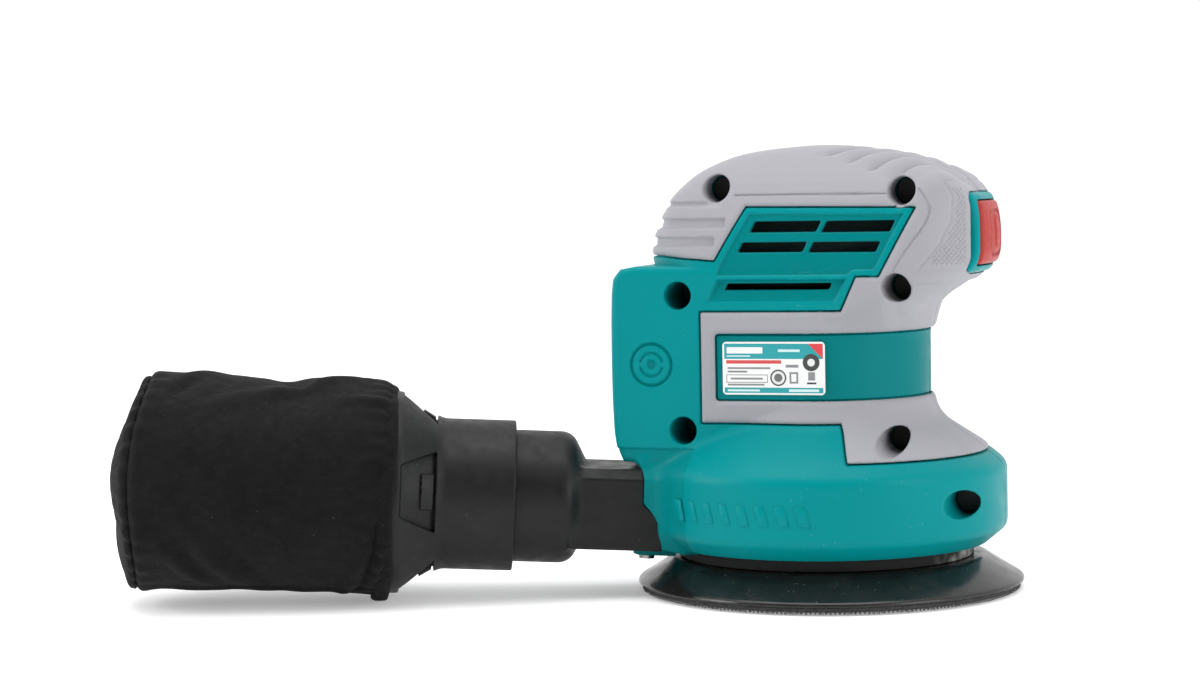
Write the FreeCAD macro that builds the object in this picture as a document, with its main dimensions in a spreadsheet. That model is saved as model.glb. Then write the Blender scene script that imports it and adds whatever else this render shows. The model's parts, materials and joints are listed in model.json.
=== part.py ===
"""Battery orbital sander with a bare dock, a 125 mm pad and a dust bag, in millimetres.

The origin is the centre of the sanding face under the motor axis, +Z is up, +X points to the switch,
and -Y is the side that the housing screws go in from. The dust port and bag have a frame of their own.
"""
import FreeCAD, Part
import math
import os
import re

import Sketcher

V = FreeCAD.Vector

DIMENSIONS = [
    # pad, turning on the eccentric bearing
    ("pad_radius", 62.5), ("pad_rim_height", 1.0), ("pad_top_radius", 50.5), ("pad_top", 11.0),
    ("hook_radius", 61.2), ("hook_thickness", 2.4), ("pad_bore", 9.0), ("screw_seat", 8.2),
    ("dust_hole_radius", 5.0), ("dust_hole_pitch_radius", 32.5), ("orbit_offset", 1.25),
    ("pad_plate_radius", 25.0), ("pad_plate_top", 12.5), ("plate_screw_pitch_radius", 21.0),
    ("small_screw_radius", 1.5), ("small_head_radius", 2.8), ("small_head_height", 1.5),
    ("pad_screw_radius", 2.5), ("pad_screw_head_radius", 5.0), ("pad_washer_radius", 6.5),
    ("pad_spindle_radius", 5.95), ("pad_spindle_top", 24.0),
    # eccentric drive and fan
    ("pad_bearing_bore", 6.0), ("pad_bearing_radius", 13.0), ("pad_bearing_low", 15.0),
    ("pad_bearing_top", 23.0), ("hub_radius", 17.0), ("hub_low", 14.4), ("hub_top", 30.0),
    ("hub_relief_radius", 11.0), ("hub_relief_top", 24.6), ("counterweight_radius", 33.0),
    ("counterweight_low", 16.0), ("counterweight_top", 27.0), ("counterweight_angle", 170.0),
    ("fan_radius", 41.5), ("fan_blade_low", 27.8), ("fan_disc_low", 35.0), ("fan_disc_top", 36.4),
    ("fan_hub_radius", 8.5), ("fan_blade_thickness", 1.4), ("shroud_inlet_radius", 36.0),
    ("shroud_low", 19.5), ("shroud_top", 21.5), ("shroud_radius", 51.0), ("shroud_lip_top", 25.0),
    ("brake_inner_radius", 44.2), ("brake_outer_radius", 47.6), ("brake_low", 11.3),
    # motor and its bearings
    ("shaft_radius", 4.0), ("shaft_top_radius", 3.5), ("shaft_shoulder", 103.0), ("shaft_top", 114.0),
    ("running_gap", 0.05), ("lower_bearing_radius", 11.0), ("lower_bearing_low", 40.0),
    ("lower_bearing_top", 47.0), ("upper_bearing_radius", 9.5), ("upper_bearing_low", 104.0),
    ("upper_bearing_top", 110.0), ("plate_low", 38.5), ("plate_top", 42.0), ("plate_radius", 50.0),
    ("plate_hub_radius", 14.0), ("plate_hub_top", 48.0), ("motor_post_radius", 3.5),
    ("motor_post_pitch_radius", 16.0), ("can_radius", 22.0), ("can_wall", 1.5), ("can_low", 50.0),
    ("can_top", 92.0), ("end_bell_inner_top", 99.5), ("end_bell_top", 104.0),
    ("magnet_inner_radius", 17.6), ("magnet_low", 56.0), ("magnet_top", 88.0), ("magnet_angle", 130.0),
    ("rotor_radius", 17.0), ("rotor_low", 60.0), ("rotor_top", 84.0), ("rotor_slot_radius", 1.4),
    ("winding_inner_radius", 6.0), ("winding_outer_radius", 15.5), ("winding_height", 5.0),
    ("commutator_radius", 9.0), ("commutator_low", 91.0), ("commutator_top", 99.0),
    ("brush_width", 5.0), ("brush_height_centre", 96.0), ("brush_holder_wall", 1.0),
    # housing envelope
    ("wall", 3.2), ("grip_thickness", 1.6), ("band_recess", 0.8), ("skirt_low", 14.0),
    ("skirt_bottom_radius", 51.5), ("skirt_radius", 58.6), ("skirt_side_low", 20.5),
    ("skirt_side_top", 39.3), ("skirt_shoulder_radius", 52.8), ("skirt_shoulder_top", 44.4),
    ("cone_top_radius", 37.6), ("cone_top", 54.2), ("waist_radius", 35.4), ("waist_low", 57.5),
    ("waist_top", 96.0), ("pod_rear", -61.4), ("pod_low", 43.5), ("pod_top", 105.5),
    ("pod_corner_radius", 6.0), ("handle_low", 88.0), ("handle_half_width", 33.0),
    ("handle_nose", 59.5), ("handle_rear", -54.7), ("handle_top", 142.7),
    # battery dock
    ("dock_floor", -54.0), ("dock_half_width", 28.0), ("dock_low", 52.0), ("dock_rail_depth", 2.4),
    ("dock_rail_lip", 4.0), ("dock_rail_top", 98.0), ("terminal_half_width", 17.0),
    ("terminal_low", 62.0), ("terminal_top", 80.0),
    # switch
    ("button_half_width", 15.0), ("button_low", 104.5), ("button_top", 124.5), ("button_back", 52.5),
    ("bezel_half_width", 18.5), ("bezel_low", 101.8), ("bezel_top", 127.2), ("bezel_back", 50.5),
    ("button_gap", 0.25), ("switch_travel", 2.0),
    # screws of the clamshell
    ("bore_radius", 4.4), ("boss_radius", 6.2), ("bore_depth_plane", -13.0), ("case_screw_radius", 2.0),
    ("case_head_radius", 3.8), ("case_head_height", 2.6), ("case_screw_end", 13.0),
    ("label_rear", -24.4), ("label_low", 64.95), ("label_length", 33.0), ("label_height", 16.7),
    ("label_thickness", 0.3),
    # electrics: board, switch body, battery contacts and leads
    ("board_rear", -30.0), ("board_front", 20.0), ("board_half_width", 16.0), ("board_low", 118.0),
    ("board_top", 119.6), ("board_rib_width", 2.5), ("board_rib_low", 115.0),
    ("switch_body_back", 35.0), ("switch_body_half_width", 8.0), ("switch_body_low", 107.0),
    ("switch_body_top", 121.0), ("blade_rear", -60.5), ("blade_front", -46.0),
    ("blade_half_thickness", 0.4), ("blade_low", 66.0), ("blade_top", 76.0), ("lead_radius", 1.0),
    ("lead_bend", 2.4),
    # dust port, in its own frame: distances from the motor axis along the port
    ("port_base_height", 26.3), ("port_plan_angle", 201.0), ("port_tilt", 3.2),
    ("port_half_width", 18.0), ("port_box_low", -16.0), ("port_box_top", 12.3), ("port_box_end", 78.0),
    ("port_shoulder_end", 84.5), ("port_tube_radius", 21.25), ("port_tube_end", 112.0),
    ("port_bore_radius", 18.5), ("port_step", 59.2), ("port_spigot_start", 50.5),
    ("duct_half_width", 13.0), ("duct_low", -12.0), ("duct_top", 7.0),
    ("port_tab_start", 48.4), ("port_tab_end", 57.8), ("port_tab_thickness", 1.7),
    ("port_tab_radius", 4.4), ("port_chamfer", 3.0), ("port_lug_low", -1.0), ("port_lug_start", 50.0),
    ("port_screw_radius", 1.4), ("port_screw_head_radius", 2.6),
    # dust bag
    ("collar_start", 101.5), ("collar_step", 113.0), ("collar_end", 126.0), ("collar_radius", 24.25),
    ("collar_gap", 0.1), ("bag_start", 137.5), ("bag_end", 232.0), ("bag_mouth_radius", 32.3),
    ("bag_radius", 34.6), ("bag_fabric", 1.4), ("hoop_wire_radius", 1.0), ("rod_wire_radius", 0.7),
    ("hoop_inset", 22.0),
]

# Where the clamshell screws stand, in X and Z
CASE_SCREWS = [(-27.7, 129.7), (32.0, 128.1), (30.6, 98.3), (-38.8, 96.2), (-37.6, 53.4),
               (29.4, 50.4), (49.9, 30.9)]

doc = FreeCAD.newDocument("orbital_sander")
sheet = doc.addObject("Spreadsheet::Sheet", "Sizes")
for row, (alias, number) in enumerate(DIMENSIONS, 1):
    sheet.set("A%d" % row, alias)
    sheet.set("B%d" % row, str(number))
    sheet.setAlias("B%d" % row, alias)
doc.recompute()
ALIASES = {alias for alias, number in DIMENSIONS}
nodes = []


def bound(formula):
    """The formula with each alias pointing at its cell."""
    return re.sub(r"[a-z][a-z_]+", lambda word: "Sizes." + word.group(0)
                  if word.group(0) in ALIASES else word.group(0), str(formula))


def value(formula):
    return float(sheet.evalExpression(bound(formula)))


def keep(item, name):
    item.Label = name
    nodes.append(item)
    return item


# ---------------------------------------------------------------- PartDesign helpers

def origin_plane(body, role):
    return next(plane for plane in body.Origin.OriginFeatures if plane.Role == role)


def new_sketch(body, role, height="0"):
    sketch = body.newObject("Sketcher::SketchObject", "Sketch")
    sketch.AttachmentSupport = (origin_plane(body, role), [""])
    sketch.MapMode = "FlatFace"
    sketch.setExpression(".AttachmentOffset.Base.z", bound(height))
    return sketch


def pin(sketch, edge, point, kind, formula):
    """One driven distance from the sketch origin to a point."""
    number = sketch.addConstraint(Sketcher.Constraint(kind, -1, 1, edge, point, value(formula)))
    sketch.setExpression("Constraints[%d]" % number, bound(formula))


def draw_outline(sketch, corners):
    """A closed outline of straight edges, each corner bound to the sheet."""
    points = [V(value(x), value(y), 0) for x, y in corners]
    count = len(points)
    for edge in range(count):
        sketch.addGeometry(Part.LineSegment(points[edge], points[(edge + 1) % count]))
    for edge in range(count):
        sketch.addConstraint(Sketcher.Constraint("Coincident", edge, 2, (edge + 1) % count, 1))
        pin(sketch, edge, 1, "DistanceX", corners[edge][0])
        pin(sketch, edge, 1, "DistanceY", corners[edge][1])


def draw_circle(sketch, x, y, radius):
    edge = sketch.addGeometry(Part.Circle(V(value(x), value(y), 0), V(0, 0, 1), value(radius)))
    pin(sketch, edge, 3, "DistanceX", x)
    if value(y) == 0:
        sketch.addConstraint(Sketcher.Constraint("PointOnObject", edge, 3, -1))
    else:
        pin(sketch, edge, 3, "DistanceY", y)
    number = sketch.addConstraint(Sketcher.Constraint("Radius", edge, value(radius)))
    sketch.setExpression("Constraints[%d]" % number, bound(radius))


def new_body(name):
    body = doc.addObject("PartDesign::Body", name)
    return keep(body, name)


def turned(name, corners, axis="V_Axis"):
    """A body turned from an outline: (radius, height) about Z, or (distance, radius) about X."""
    body = new_body(name)
    sketch = new_sketch(body, "XZ_Plane")
    draw_outline(sketch, corners)
    turn = body.newObject("PartDesign::Revolution", "Turn")
    turn.Profile = sketch
    turn.ReferenceAxis = (sketch, [axis])
    turn.Angle = 360
    doc.recompute()
    return body


def repeat(body, feature, sketch, count):
    pattern = body.newObject("PartDesign::PolarPattern", "Pattern")
    pattern.Originals = [feature]
    pattern.Axis = (sketch, ["N_Axis"])
    pattern.Angle = 360
    pattern.Occurrences = count
    body.Tip = pattern
    doc.recompute()


def ring_of_holes(body, pitch_radius, radius, count):
    """Through holes on a circle about Z."""
    sketch = new_sketch(body, "XY_Plane")
    draw_circle(sketch, pitch_radius, "0", radius)
    pocket = body.newObject("PartDesign::Pocket", "Holes")
    pocket.Profile = sketch
    pocket.Type = "ThroughAll"
    pocket.Midplane = True
    before = body.Shape.Volume
    doc.recompute()
    repeat(body, pocket, sketch, count)
    if not body.Shape.Volume < before:
        raise RuntimeError("the holes of %s cut nothing" % body.Label)


def ring_of_bosses(body, corners_or_circle, low, high, count):
    """Bosses or blades standing between two heights, repeated about Z."""
    sketch = new_sketch(body, "XY_Plane", low)
    if len(corners_or_circle) == 3:
        draw_circle(sketch, *corners_or_circle)
    else:
        draw_outline(sketch, corners_or_circle)
    pad = body.newObject("PartDesign::Pad", "Boss")
    pad.Profile = sketch
    pad.setExpression("Length", bound("%s - (%s)" % (high, low)))
    doc.recompute()
    repeat(body, pad, sketch, count)


# ---------------------------------------------------------------- Part helpers

def cylinder(name, radius, low, high, x="0"):
    item = doc.addObject("Part::Cylinder", name)
    item.setExpression("Radius", bound(radius))
    item.setExpression("Height", bound("%s - (%s)" % (high, low)))
    item.setExpression("Placement.Base.x", bound(x))
    item.setExpression("Placement.Base.z", bound(low))
    return item


def block(name, low, high):
    """A Part::Box between two corners."""
    item = doc.addObject("Part::Box", name)
    for prop, a, b in zip(("Length", "Width", "Height"), low, high):
        item.setExpression(prop, bound("%s - (%s)" % (b, a)))
    for letter, a in zip("xyz", low):
        item.setExpression("Placement.Base." + letter, bound(a))
    return item


def cut(name, base, tools):
    """The base less all the tools."""
    for number, tool in enumerate(tools):
        item = doc.addObject("Part::Cut", "%s_cut%d" % (name, number))
        item.Base = base
        item.Tool = tool
        base = item
    return base


def feature(name, shape):
    item = doc.addObject("Part::Feature", name)
    item.Shape = shape
    return keep(item, name)


def ring_shape(inner, outer, low, high):
    solid = Part.makeCylinder(value(outer), value(high) - value(low), V(0, 0, value(low)))
    return solid.cut(Part.makeCylinder(value(inner), value(high) - value(low), V(0, 0, value(low))))


def box_shape(low, high):
    a = V(*[value(number) for number in low])
    b = V(*[value(number) for number in high])
    return Part.makeBox(b.x - a.x, b.y - a.y, b.z - a.z, a)


def upright_box(x, y, z):
    """A box from three pairs of numbers."""
    return Part.makeBox(x[1] - x[0], y[1] - y[0], z[1] - z[0], V(x[0], y[0], z[0]))


def prism_xz(points, low=-80.0, high=80.0):
    """An outline in X and Z, pushed through between two values of Y."""
    wire = Part.makePolygon([V(x, low, z) for x, z in points + points[:1]])
    return Part.Face(wire).extrude(V(0, high - low, 0))


def screw_shape(seat, way, head_radius, head_height, radius, length):
    """A headed screw whose head rests on the seat and whose shank runs the given way."""
    head = Part.makeCylinder(value(head_radius), value(head_height), seat, way * -1)
    shank = Part.makeCylinder(value(radius), value(length), seat, way)
    return head.fuse(shank)


def bent_tube(points, radius, bend):
    """A round tube along straight runs joined by tangent arcs."""
    edges = []
    start = points[0]
    for here, after in zip(points[1:-1], points[2:]):
        arriving = (here - start).normalize()
        leaving = (after - here).normalize()
        turn = arriving.getAngle(leaving)
        reach = bend * math.tan(turn / 2)
        before_bend = here - arriving * reach
        after_bend = here + leaving * reach
        middle_way = (leaving - arriving).normalize()
        middle = here + middle_way * (bend / math.cos(turn / 2) - bend)
        edges.append(Part.LineSegment(start, before_bend).toShape())
        edges.append(Part.Arc(before_bend, middle, after_bend).toShape())
        start = after_bend
    edges.append(Part.LineSegment(start, points[-1]).toShape())
    section = Part.Wire([Part.makeCircle(radius, points[0], (points[1] - points[0]).normalize())])
    return Part.Wire(edges).makePipeShell([section], True, True)


# ---------------------------------------------------------------- pad, turning on the eccentric

def make_pad():
    hook = turned("hook_face", [("pad_bore", "0"), ("hook_radius", "0"),
                                ("hook_radius", "hook_thickness"), ("pad_bore", "hook_thickness")])
    ring_of_holes(hook, "dust_hole_pitch_radius", "dust_hole_radius", 8)
    backing = turned("backing_pad", [
        ("pad_bore", "hook_thickness"), ("pad_radius", "hook_thickness"),
        ("pad_radius", "hook_thickness + pad_rim_height"), ("pad_top_radius", "pad_top"),
        ("pad_screw_radius", "pad_top"), ("pad_screw_radius", "screw_seat"),
        ("pad_bore", "screw_seat")])
    ring_of_holes(backing, "dust_hole_pitch_radius", "dust_hole_radius", 8)
    ring_of_holes(backing, "plate_screw_pitch_radius", "small_screw_radius", 4)
    plate = turned("pad_hub_plate", [
        ("pad_screw_radius", "pad_top"), ("pad_plate_radius", "pad_top"),
        ("pad_plate_radius", "pad_plate_top"), ("pad_screw_radius", "pad_plate_top")])
    ring_of_holes(plate, "plate_screw_pitch_radius", "small_screw_radius", 4)
    spindle = turned("pad_spindle", [
        ("pad_screw_radius", "pad_plate_top"), ("pad_bore", "pad_plate_top"),
        ("pad_bore", "pad_bearing_low - 0.4"), ("pad_spindle_radius", "pad_bearing_low - 0.4"),
        ("pad_spindle_radius", "pad_spindle_top"), ("0", "pad_spindle_top"),
        ("0", "pad_spindle_top - 3"), ("pad_screw_radius", "pad_spindle_top - 3")])
    washer = turned("pad_washer", [
        ("pad_screw_radius", "screw_seat - 1"), ("pad_washer_radius", "screw_seat - 1"),
        ("pad_washer_radius", "screw_seat"), ("pad_screw_radius", "screw_seat")])
    screw = turned("pad_screw", [
        ("0", "screw_seat - 4"), ("pad_screw_head_radius", "screw_seat - 4"),
        ("pad_screw_head_radius", "screw_seat - 1"), ("pad_screw_radius", "screw_seat - 1"),
        ("pad_screw_radius", "pad_spindle_top - 3.5"), ("0", "pad_spindle_top - 3.5")])
    for body in (hook, backing, plate, spindle, washer, screw):
        body.setExpression("Placement.Base.x", bound("orbit_offset"))
    screws = []
    for number in range(4):
        one = screw_shape(V(0, 0, value("pad_plate_top")), V(0, 0, -1), "small_head_radius",
                          "small_head_height", "small_screw_radius", "pad_plate_top - screw_seat + 3")
        one.translate(V(value("plate_screw_pitch_radius"), 0, 0))
        one.rotate(V(0, 0, 0), V(0, 0, 1), 90 * number)
        one.translate(V(value("orbit_offset"), 0, 0))
        screws.append(one)
    feature("plate_screws", Part.makeCompound(screws))


# ---------------------------------------------------------------- spindle: eccentric, fan, armature

def make_spindle():
    bearing = turned("pad_bearing", [
        ("pad_bearing_bore", "pad_bearing_low"), ("pad_bearing_radius", "pad_bearing_low"),
        ("pad_bearing_radius", "pad_bearing_top"), ("pad_bearing_bore", "pad_bearing_top")])
    bearing.setExpression("Placement.Base.x", bound("orbit_offset"))
    hub = cut("hub", cylinder("hub_blank", "hub_radius", "hub_low", "hub_top"), [
        cylinder("hub_seat", "pad_bearing_radius", "hub_low - 1", "pad_bearing_top", "orbit_offset"),
        cylinder("hub_relief", "hub_relief_radius", "pad_bearing_top - 1", "hub_relief_top",
                 "orbit_offset"),
        cylinder("hub_shaft_bore", "shaft_radius", "hub_relief_top - 1", "hub_top + 1")])
    keep(hub, "eccentric_hub")
    sector = cylinder("weight_blank", "counterweight_radius", "counterweight_low", "counterweight_top")
    sector.setExpression("Angle", bound("counterweight_angle"))
    turn = "180 - counterweight_angle / 2"
    sector.setExpression("Placement.Rotation.Angle", bound(turn))
    weight = cut("weight", sector, [cylinder("weight_bore", "hub_radius", "counterweight_low - 1",
                                             "counterweight_top + 1")])
    keep(weight, "counterweight")
    fan = turned("fan", [
        ("shaft_radius", "hub_top"), ("fan_hub_radius", "hub_top"), ("fan_hub_radius", "fan_disc_low"),
        ("fan_radius", "fan_disc_low"), ("fan_radius", "fan_disc_top"),
        ("shaft_radius", "fan_disc_top")])
    blade = [("hub_radius + 2", "-fan_blade_thickness / 2"), ("fan_radius - 1", "-fan_blade_thickness / 2"),
             ("fan_radius - 1", "fan_blade_thickness / 2"), ("hub_radius + 2", "fan_blade_thickness / 2")]
    ring_of_bosses(fan, blade, "fan_blade_low", "fan_disc_low + 0.5", 12)
    turned("motor_shaft", [
        ("0", "hub_relief_top"), ("shaft_radius", "hub_relief_top"), ("shaft_radius", "shaft_shoulder"),
        ("shaft_top_radius", "shaft_shoulder"), ("shaft_top_radius", "shaft_top"), ("0", "shaft_top")])
    core = turned("rotor_core", [("shaft_radius", "rotor_low"), ("rotor_radius", "rotor_low"),
                                 ("rotor_radius", "rotor_top"), ("shaft_radius", "rotor_top")])
    ring_of_holes(core, "rotor_radius - 1", "rotor_slot_radius", 10)
    windings = [ring_shape("winding_inner_radius", "winding_outer_radius", "rotor_low - winding_height",
                           "rotor_low"),
                ring_shape("winding_inner_radius", "winding_outer_radius", "rotor_top",
                           "rotor_top + winding_height")]
    feature("armature_windings", Part.makeCompound(windings))
    commutator = turned("commutator", [
        ("shaft_radius", "commutator_low"), ("commutator_radius", "commutator_low"),
        ("commutator_radius", "commutator_top"), ("shaft_radius", "commutator_top")])
    ring_of_holes(commutator, "commutator_radius", "0.3", 10)


# ---------------------------------------------------------------- fixed motor parts and bearings

def make_motor():
    turned("lower_bearing", [
        ("shaft_radius + running_gap", "lower_bearing_low"), ("lower_bearing_radius", "lower_bearing_low"),
        ("lower_bearing_radius", "lower_bearing_top"),
        ("shaft_radius + running_gap", "lower_bearing_top")])
    turned("upper_bearing", [
        ("shaft_top_radius + running_gap", "upper_bearing_low"),
        ("upper_bearing_radius", "upper_bearing_low"), ("upper_bearing_radius", "upper_bearing_top"),
        ("shaft_top_radius + running_gap", "upper_bearing_top")])
    plate = turned("bearing_plate", [
        ("shaft_radius + 2", "plate_low"), ("plate_radius", "plate_low"), ("plate_radius", "plate_top"),
        ("plate_hub_radius", "plate_top"), ("plate_hub_radius", "plate_hub_top"),
        ("lower_bearing_radius", "plate_hub_top"), ("lower_bearing_radius", "lower_bearing_low"),
        ("shaft_radius + 2", "lower_bearing_low")])
    ring_of_bosses(plate, ("motor_post_pitch_radius", "0", "motor_post_radius"), "plate_top - 0.5",
                   "can_low", 2)
    ring_of_holes(plate, "motor_post_pitch_radius", "small_screw_radius", 2)
    can = turned("motor_can", [
        ("lower_bearing_radius", "can_low"), ("can_radius", "can_low"), ("can_radius", "can_top"),
        ("can_radius - can_wall", "can_top"), ("can_radius - can_wall", "can_low + can_wall"),
        ("lower_bearing_radius", "can_low + can_wall")])
    ring_of_holes(can, "motor_post_pitch_radius", "small_screw_radius", 2)
    turned("motor_end_bell", [
        ("can_radius", "can_top"), ("can_radius", "end_bell_top"),
        ("upper_bearing_radius + 2", "end_bell_top"), ("upper_bearing_radius + 2", "upper_bearing_top"),
        ("upper_bearing_radius", "upper_bearing_top"), ("upper_bearing_radius", "upper_bearing_low"),
        ("shaft_radius + 1.5", "upper_bearing_low"), ("shaft_radius + 1.5", "end_bell_inner_top"),
        ("can_radius - can_wall", "end_bell_inner_top"), ("can_radius - can_wall", "can_top")])
    make_motor_screws()
    make_magnets()
    make_brushes()


def make_motor_screws():
    screws = []
    for side in (-1, 1):
        seat = V(side * value("motor_post_pitch_radius"), 0, value("plate_low"))
        screws.append(screw_shape(seat, V(0, 0, 1), "small_head_radius", "small_head_height",
                                  "small_screw_radius", "can_low + can_wall - plate_low"))
    feature("motor_screws", Part.makeCompound(screws))


def make_magnets():
    magnets = []
    span = value("magnet_angle")
    for middle in (90, 270):
        inner = value("magnet_inner_radius")
        outer = value("can_radius - can_wall")
        height = value("magnet_top - magnet_low")
        base = V(0, 0, value("magnet_low"))
        arc = Part.makeCylinder(outer, height, base, V(0, 0, 1), span)
        arc = arc.cut(Part.makeCylinder(inner, height, base))
        arc.rotate(V(0, 0, 0), V(0, 0, 1), middle - span / 2)
        magnets.append(arc)
    feature("motor_magnets", Part.makeCompound(magnets))


def make_brushes():
    holders = []
    brushes = []
    half = value("brush_width / 2")
    outer = half + value("brush_holder_wall")
    z = value("brush_height_centre")
    near = value("commutator_radius + 0.3")
    for side in (-1, 1):
        holder = Part.makeBox(2 * outer, 8, 2 * outer, V(-outer, near + 2, z - outer))
        holder = holder.cut(Part.makeBox(2 * half, 8, 2 * half, V(-half, near + 2, z - half)))
        brush = Part.makeBox(2 * half, 7, 2 * half, V(-half, near, z - half))
        if side < 0:
            holder = holder.mirror(V(0, 0, 0), V(0, 1, 0))
            brush = brush.mirror(V(0, 0, 0), V(0, 1, 0))
        holders.append(holder)
        brushes.append(brush)
    feature("brush_holders", Part.makeCompound(holders))
    feature("carbon_brushes", Part.makeCompound(brushes))


def make_fan_chamber():
    turned("fan_shroud", [
        ("shroud_inlet_radius", "shroud_low"), ("shroud_radius", "shroud_low"),
        ("shroud_radius", "shroud_top"), ("shroud_inlet_radius + 1.4", "shroud_top"),
        ("shroud_inlet_radius + 1.4", "shroud_lip_top"), ("shroud_inlet_radius", "shroud_lip_top")])
    turned("brake_ring", [
        ("brake_inner_radius", "brake_low"), ("brake_outer_radius", "brake_low"),
        ("brake_outer_radius", "shroud_low"), ("brake_inner_radius", "shroud_low")])


# ---------------------------------------------------------------- housing envelope

def skirt_shape(inset, low):
    """Skirt, cone and waist in one turned solid, inset from the outside."""
    outline = [
        (0, low), (value("skirt_bottom_radius") - inset, low),
        (value("skirt_bottom_radius") - inset, value("skirt_low")),
        (value("skirt_radius") - inset, value("skirt_side_low")),
        (value("skirt_radius") - inset, value("skirt_side_top")),
        (value("skirt_shoulder_radius") - inset, value("skirt_shoulder_top")),
        (value("cone_top_radius") - inset, value("cone_top")),
        (value("waist_radius") - inset, value("waist_low")),
        (value("waist_radius") - inset, value("waist_top")), (0, value("waist_top"))]
    corners = []
    for r, z in outline:
        if not corners or (r, z) != corners[-1]:
            corners.append((r, z))
    wire = Part.makePolygon([V(r, 0, z) for r, z in corners + corners[:1]])
    return Part.Face(wire).revolve(V(0, 0, 0), V(0, 0, 1), 360)


def pod_shape(inset):
    """The upright block that carries the battery dock, with rounded rear corners."""
    rear = value("pod_rear") + inset
    low = value("pod_low") + inset
    top = value("pod_top") - inset
    side = prism_xz([(rear, low + 5), (rear + 1.5, low), (0, low), (0, top), (rear + 9, top),
                     (rear + 3.5, top - 1.5), (rear + 0.6, top - 4.5), (rear, top - 8)])
    half = value("waist_radius") - inset
    plan = Part.makeBox(-rear, 2 * half, 200, V(rear, -half, -20))
    corners = [edge for edge in plan.Edges
               if abs(edge.CenterOfMass.x - rear) < 0.01 and abs(edge.CenterOfMass.z - 80) < 0.01]
    return side.common(plan.makeFillet(value("pod_corner_radius"), corners))


def spline(points):
    curve = Part.BSplineCurve()
    curve.interpolate(points)
    return curve.toShape()


def handle_shape(inset):
    """The palm handle: its side outline, plan outline and arched section, all at once."""
    low = value("handle_low")
    tall = value("handle_top") - low
    nose = value("handle_nose")
    rear = value("handle_rear")
    long_scale = 1 - inset / nose
    tall_scale = 1 - inset / tall

    def side(x, z):
        return V(x * long_scale, -80, low + (z - low) * tall_scale)

    crown = [side(rear, 106), side(-52.0, 123.5), side(-41.0, 134.5), side(-25.8, 140.3),
             side(3.0, value("handle_top")), side(28.0, 139.9), side(45.5, 135.0), side(56.0, 126.5),
             side(nose, 115.5), side(58.6, 106.5), side(55.0, 101.9)]
    under = [crown[-1], side(46.0, 95.9), side(37.4, 92.2), side(34.5, low), side(-34.5, low), crown[0]]
    face = Part.Face(Part.Wire([spline(crown), Part.makePolygon(under)]))
    outline = face.extrude(V(0, 160, 0))

    half = value("handle_half_width") - inset
    front = [V(30, -half, 0), V(nose - inset, 0, 0), V(30, half, 0)]
    back = [V(-36, half, 0), V(rear + inset, 0, 0), V(-36, -half, 0)]
    plan = Part.Wire([Part.Arc(*front).toShape(), Part.makeLine(front[2], back[0]),
                      Part.Arc(*back).toShape(), Part.makeLine(back[2], front[0])])
    plan = Part.Face(plan).extrude(V(0, 0, 200))

    wide_scale = 1 - inset / 35.4
    arch = [(36.0, 88.0), (34.2, 106.0), (31.0, 120.0), (24.5, 132.0), (14.0, 139.8), (0, 142.9)]
    right = [V(-100, -y * wide_scale, low + (z - low) * tall_scale) for y, z in arch]
    left = [V(-100, -point.y, point.z) for point in reversed(right[:-1])]
    section = Part.Wire([spline(right + left), Part.makeLine(left[-1], right[0])])
    section = Part.Face(section).extrude(V(200, 0, 0))
    return outline.common(plan).common(section)


def envelope(inset, low=None):
    """The whole casing's outside, moved in by inset."""
    start = value("skirt_low") if low is None else low
    return skirt_shape(inset, start).multiFuse([pod_shape(inset), handle_shape(inset)])


def grip_region():
    """Where the soft overmould lies, as a prism through the casing."""
    around = [(-70, 108.2), (-45.2, 108.2), (-26.6, 106.8), (-17.2, 123.6), (36.2, 122.8),
              (25.4, 102.0), (18.2, 102.0), (13.4, 91.4), (-31.8, 91.4), (-31.8, 55.6), (12.8, 55.6),
              (14.2, 44.6), (70, 44.6), (70, 150), (-70, 150)]
    return prism_xz(around).cut(band_region())


def band_region():
    """The recessed teal band that carries the label."""
    return prism_xz([(-26.4, 63.4), (70, 63.4), (70, 83.7), (-26.4, 83.7)])


def vent_slots():
    """Five slanted air slots, cut through both sides."""
    slots = []
    slant = 0.45
    for left, right, low, high in ((-15.8, 5.6, 115.8, 119.2), (7.2, 28.9, 115.6, 119.1),
                                   (-19.4, 1.5, 109.6, 112.7), (3.3, 24.6, 109.4, 112.6),
                                   (-23.6, 9.9, 97.9, 99.9)):
        lean = (high - low) * slant
        slots.append(prism_xz([(left, low), (right, low), (right + lean, high), (left + lean, high)]))
    return slots


def port_placement():
    """From the port's own frame, where X runs out along the duct, to the sander's frame."""
    plan = FreeCAD.Rotation(V(0, 0, 1), value("port_plan_angle"))
    tilt = FreeCAD.Rotation(V(0, 1, 0), -value("port_tilt"))
    return FreeCAD.Placement(V(0, 0, value("port_base_height")), plan.multiply(tilt))


def in_port_frame(shape):
    moved = shape.copy()
    moved.transformShape(port_placement().toMatrix())
    return moved


def port_lug(top):
    """The casing's tongue above the adapter, whose lower edge runs down at 45 degrees to the skirt."""
    start = value("port_lug_start")
    end = value("port_step")
    low = value("port_lug_low")
    half = value("port_half_width")
    return prism_xz([(start, low - (end - start)), (end, low), (end, top), (start, top)], -half, half)


def bezel_window(front_margin=9.0):
    """The opening in the nose that the switch bezel fills."""
    return upright_box((value("bezel_back"), value("handle_nose") + front_margin),
                       (-value("bezel_half_width"), value("bezel_half_width")),
                       (value("bezel_low"), value("bezel_top")))


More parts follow.
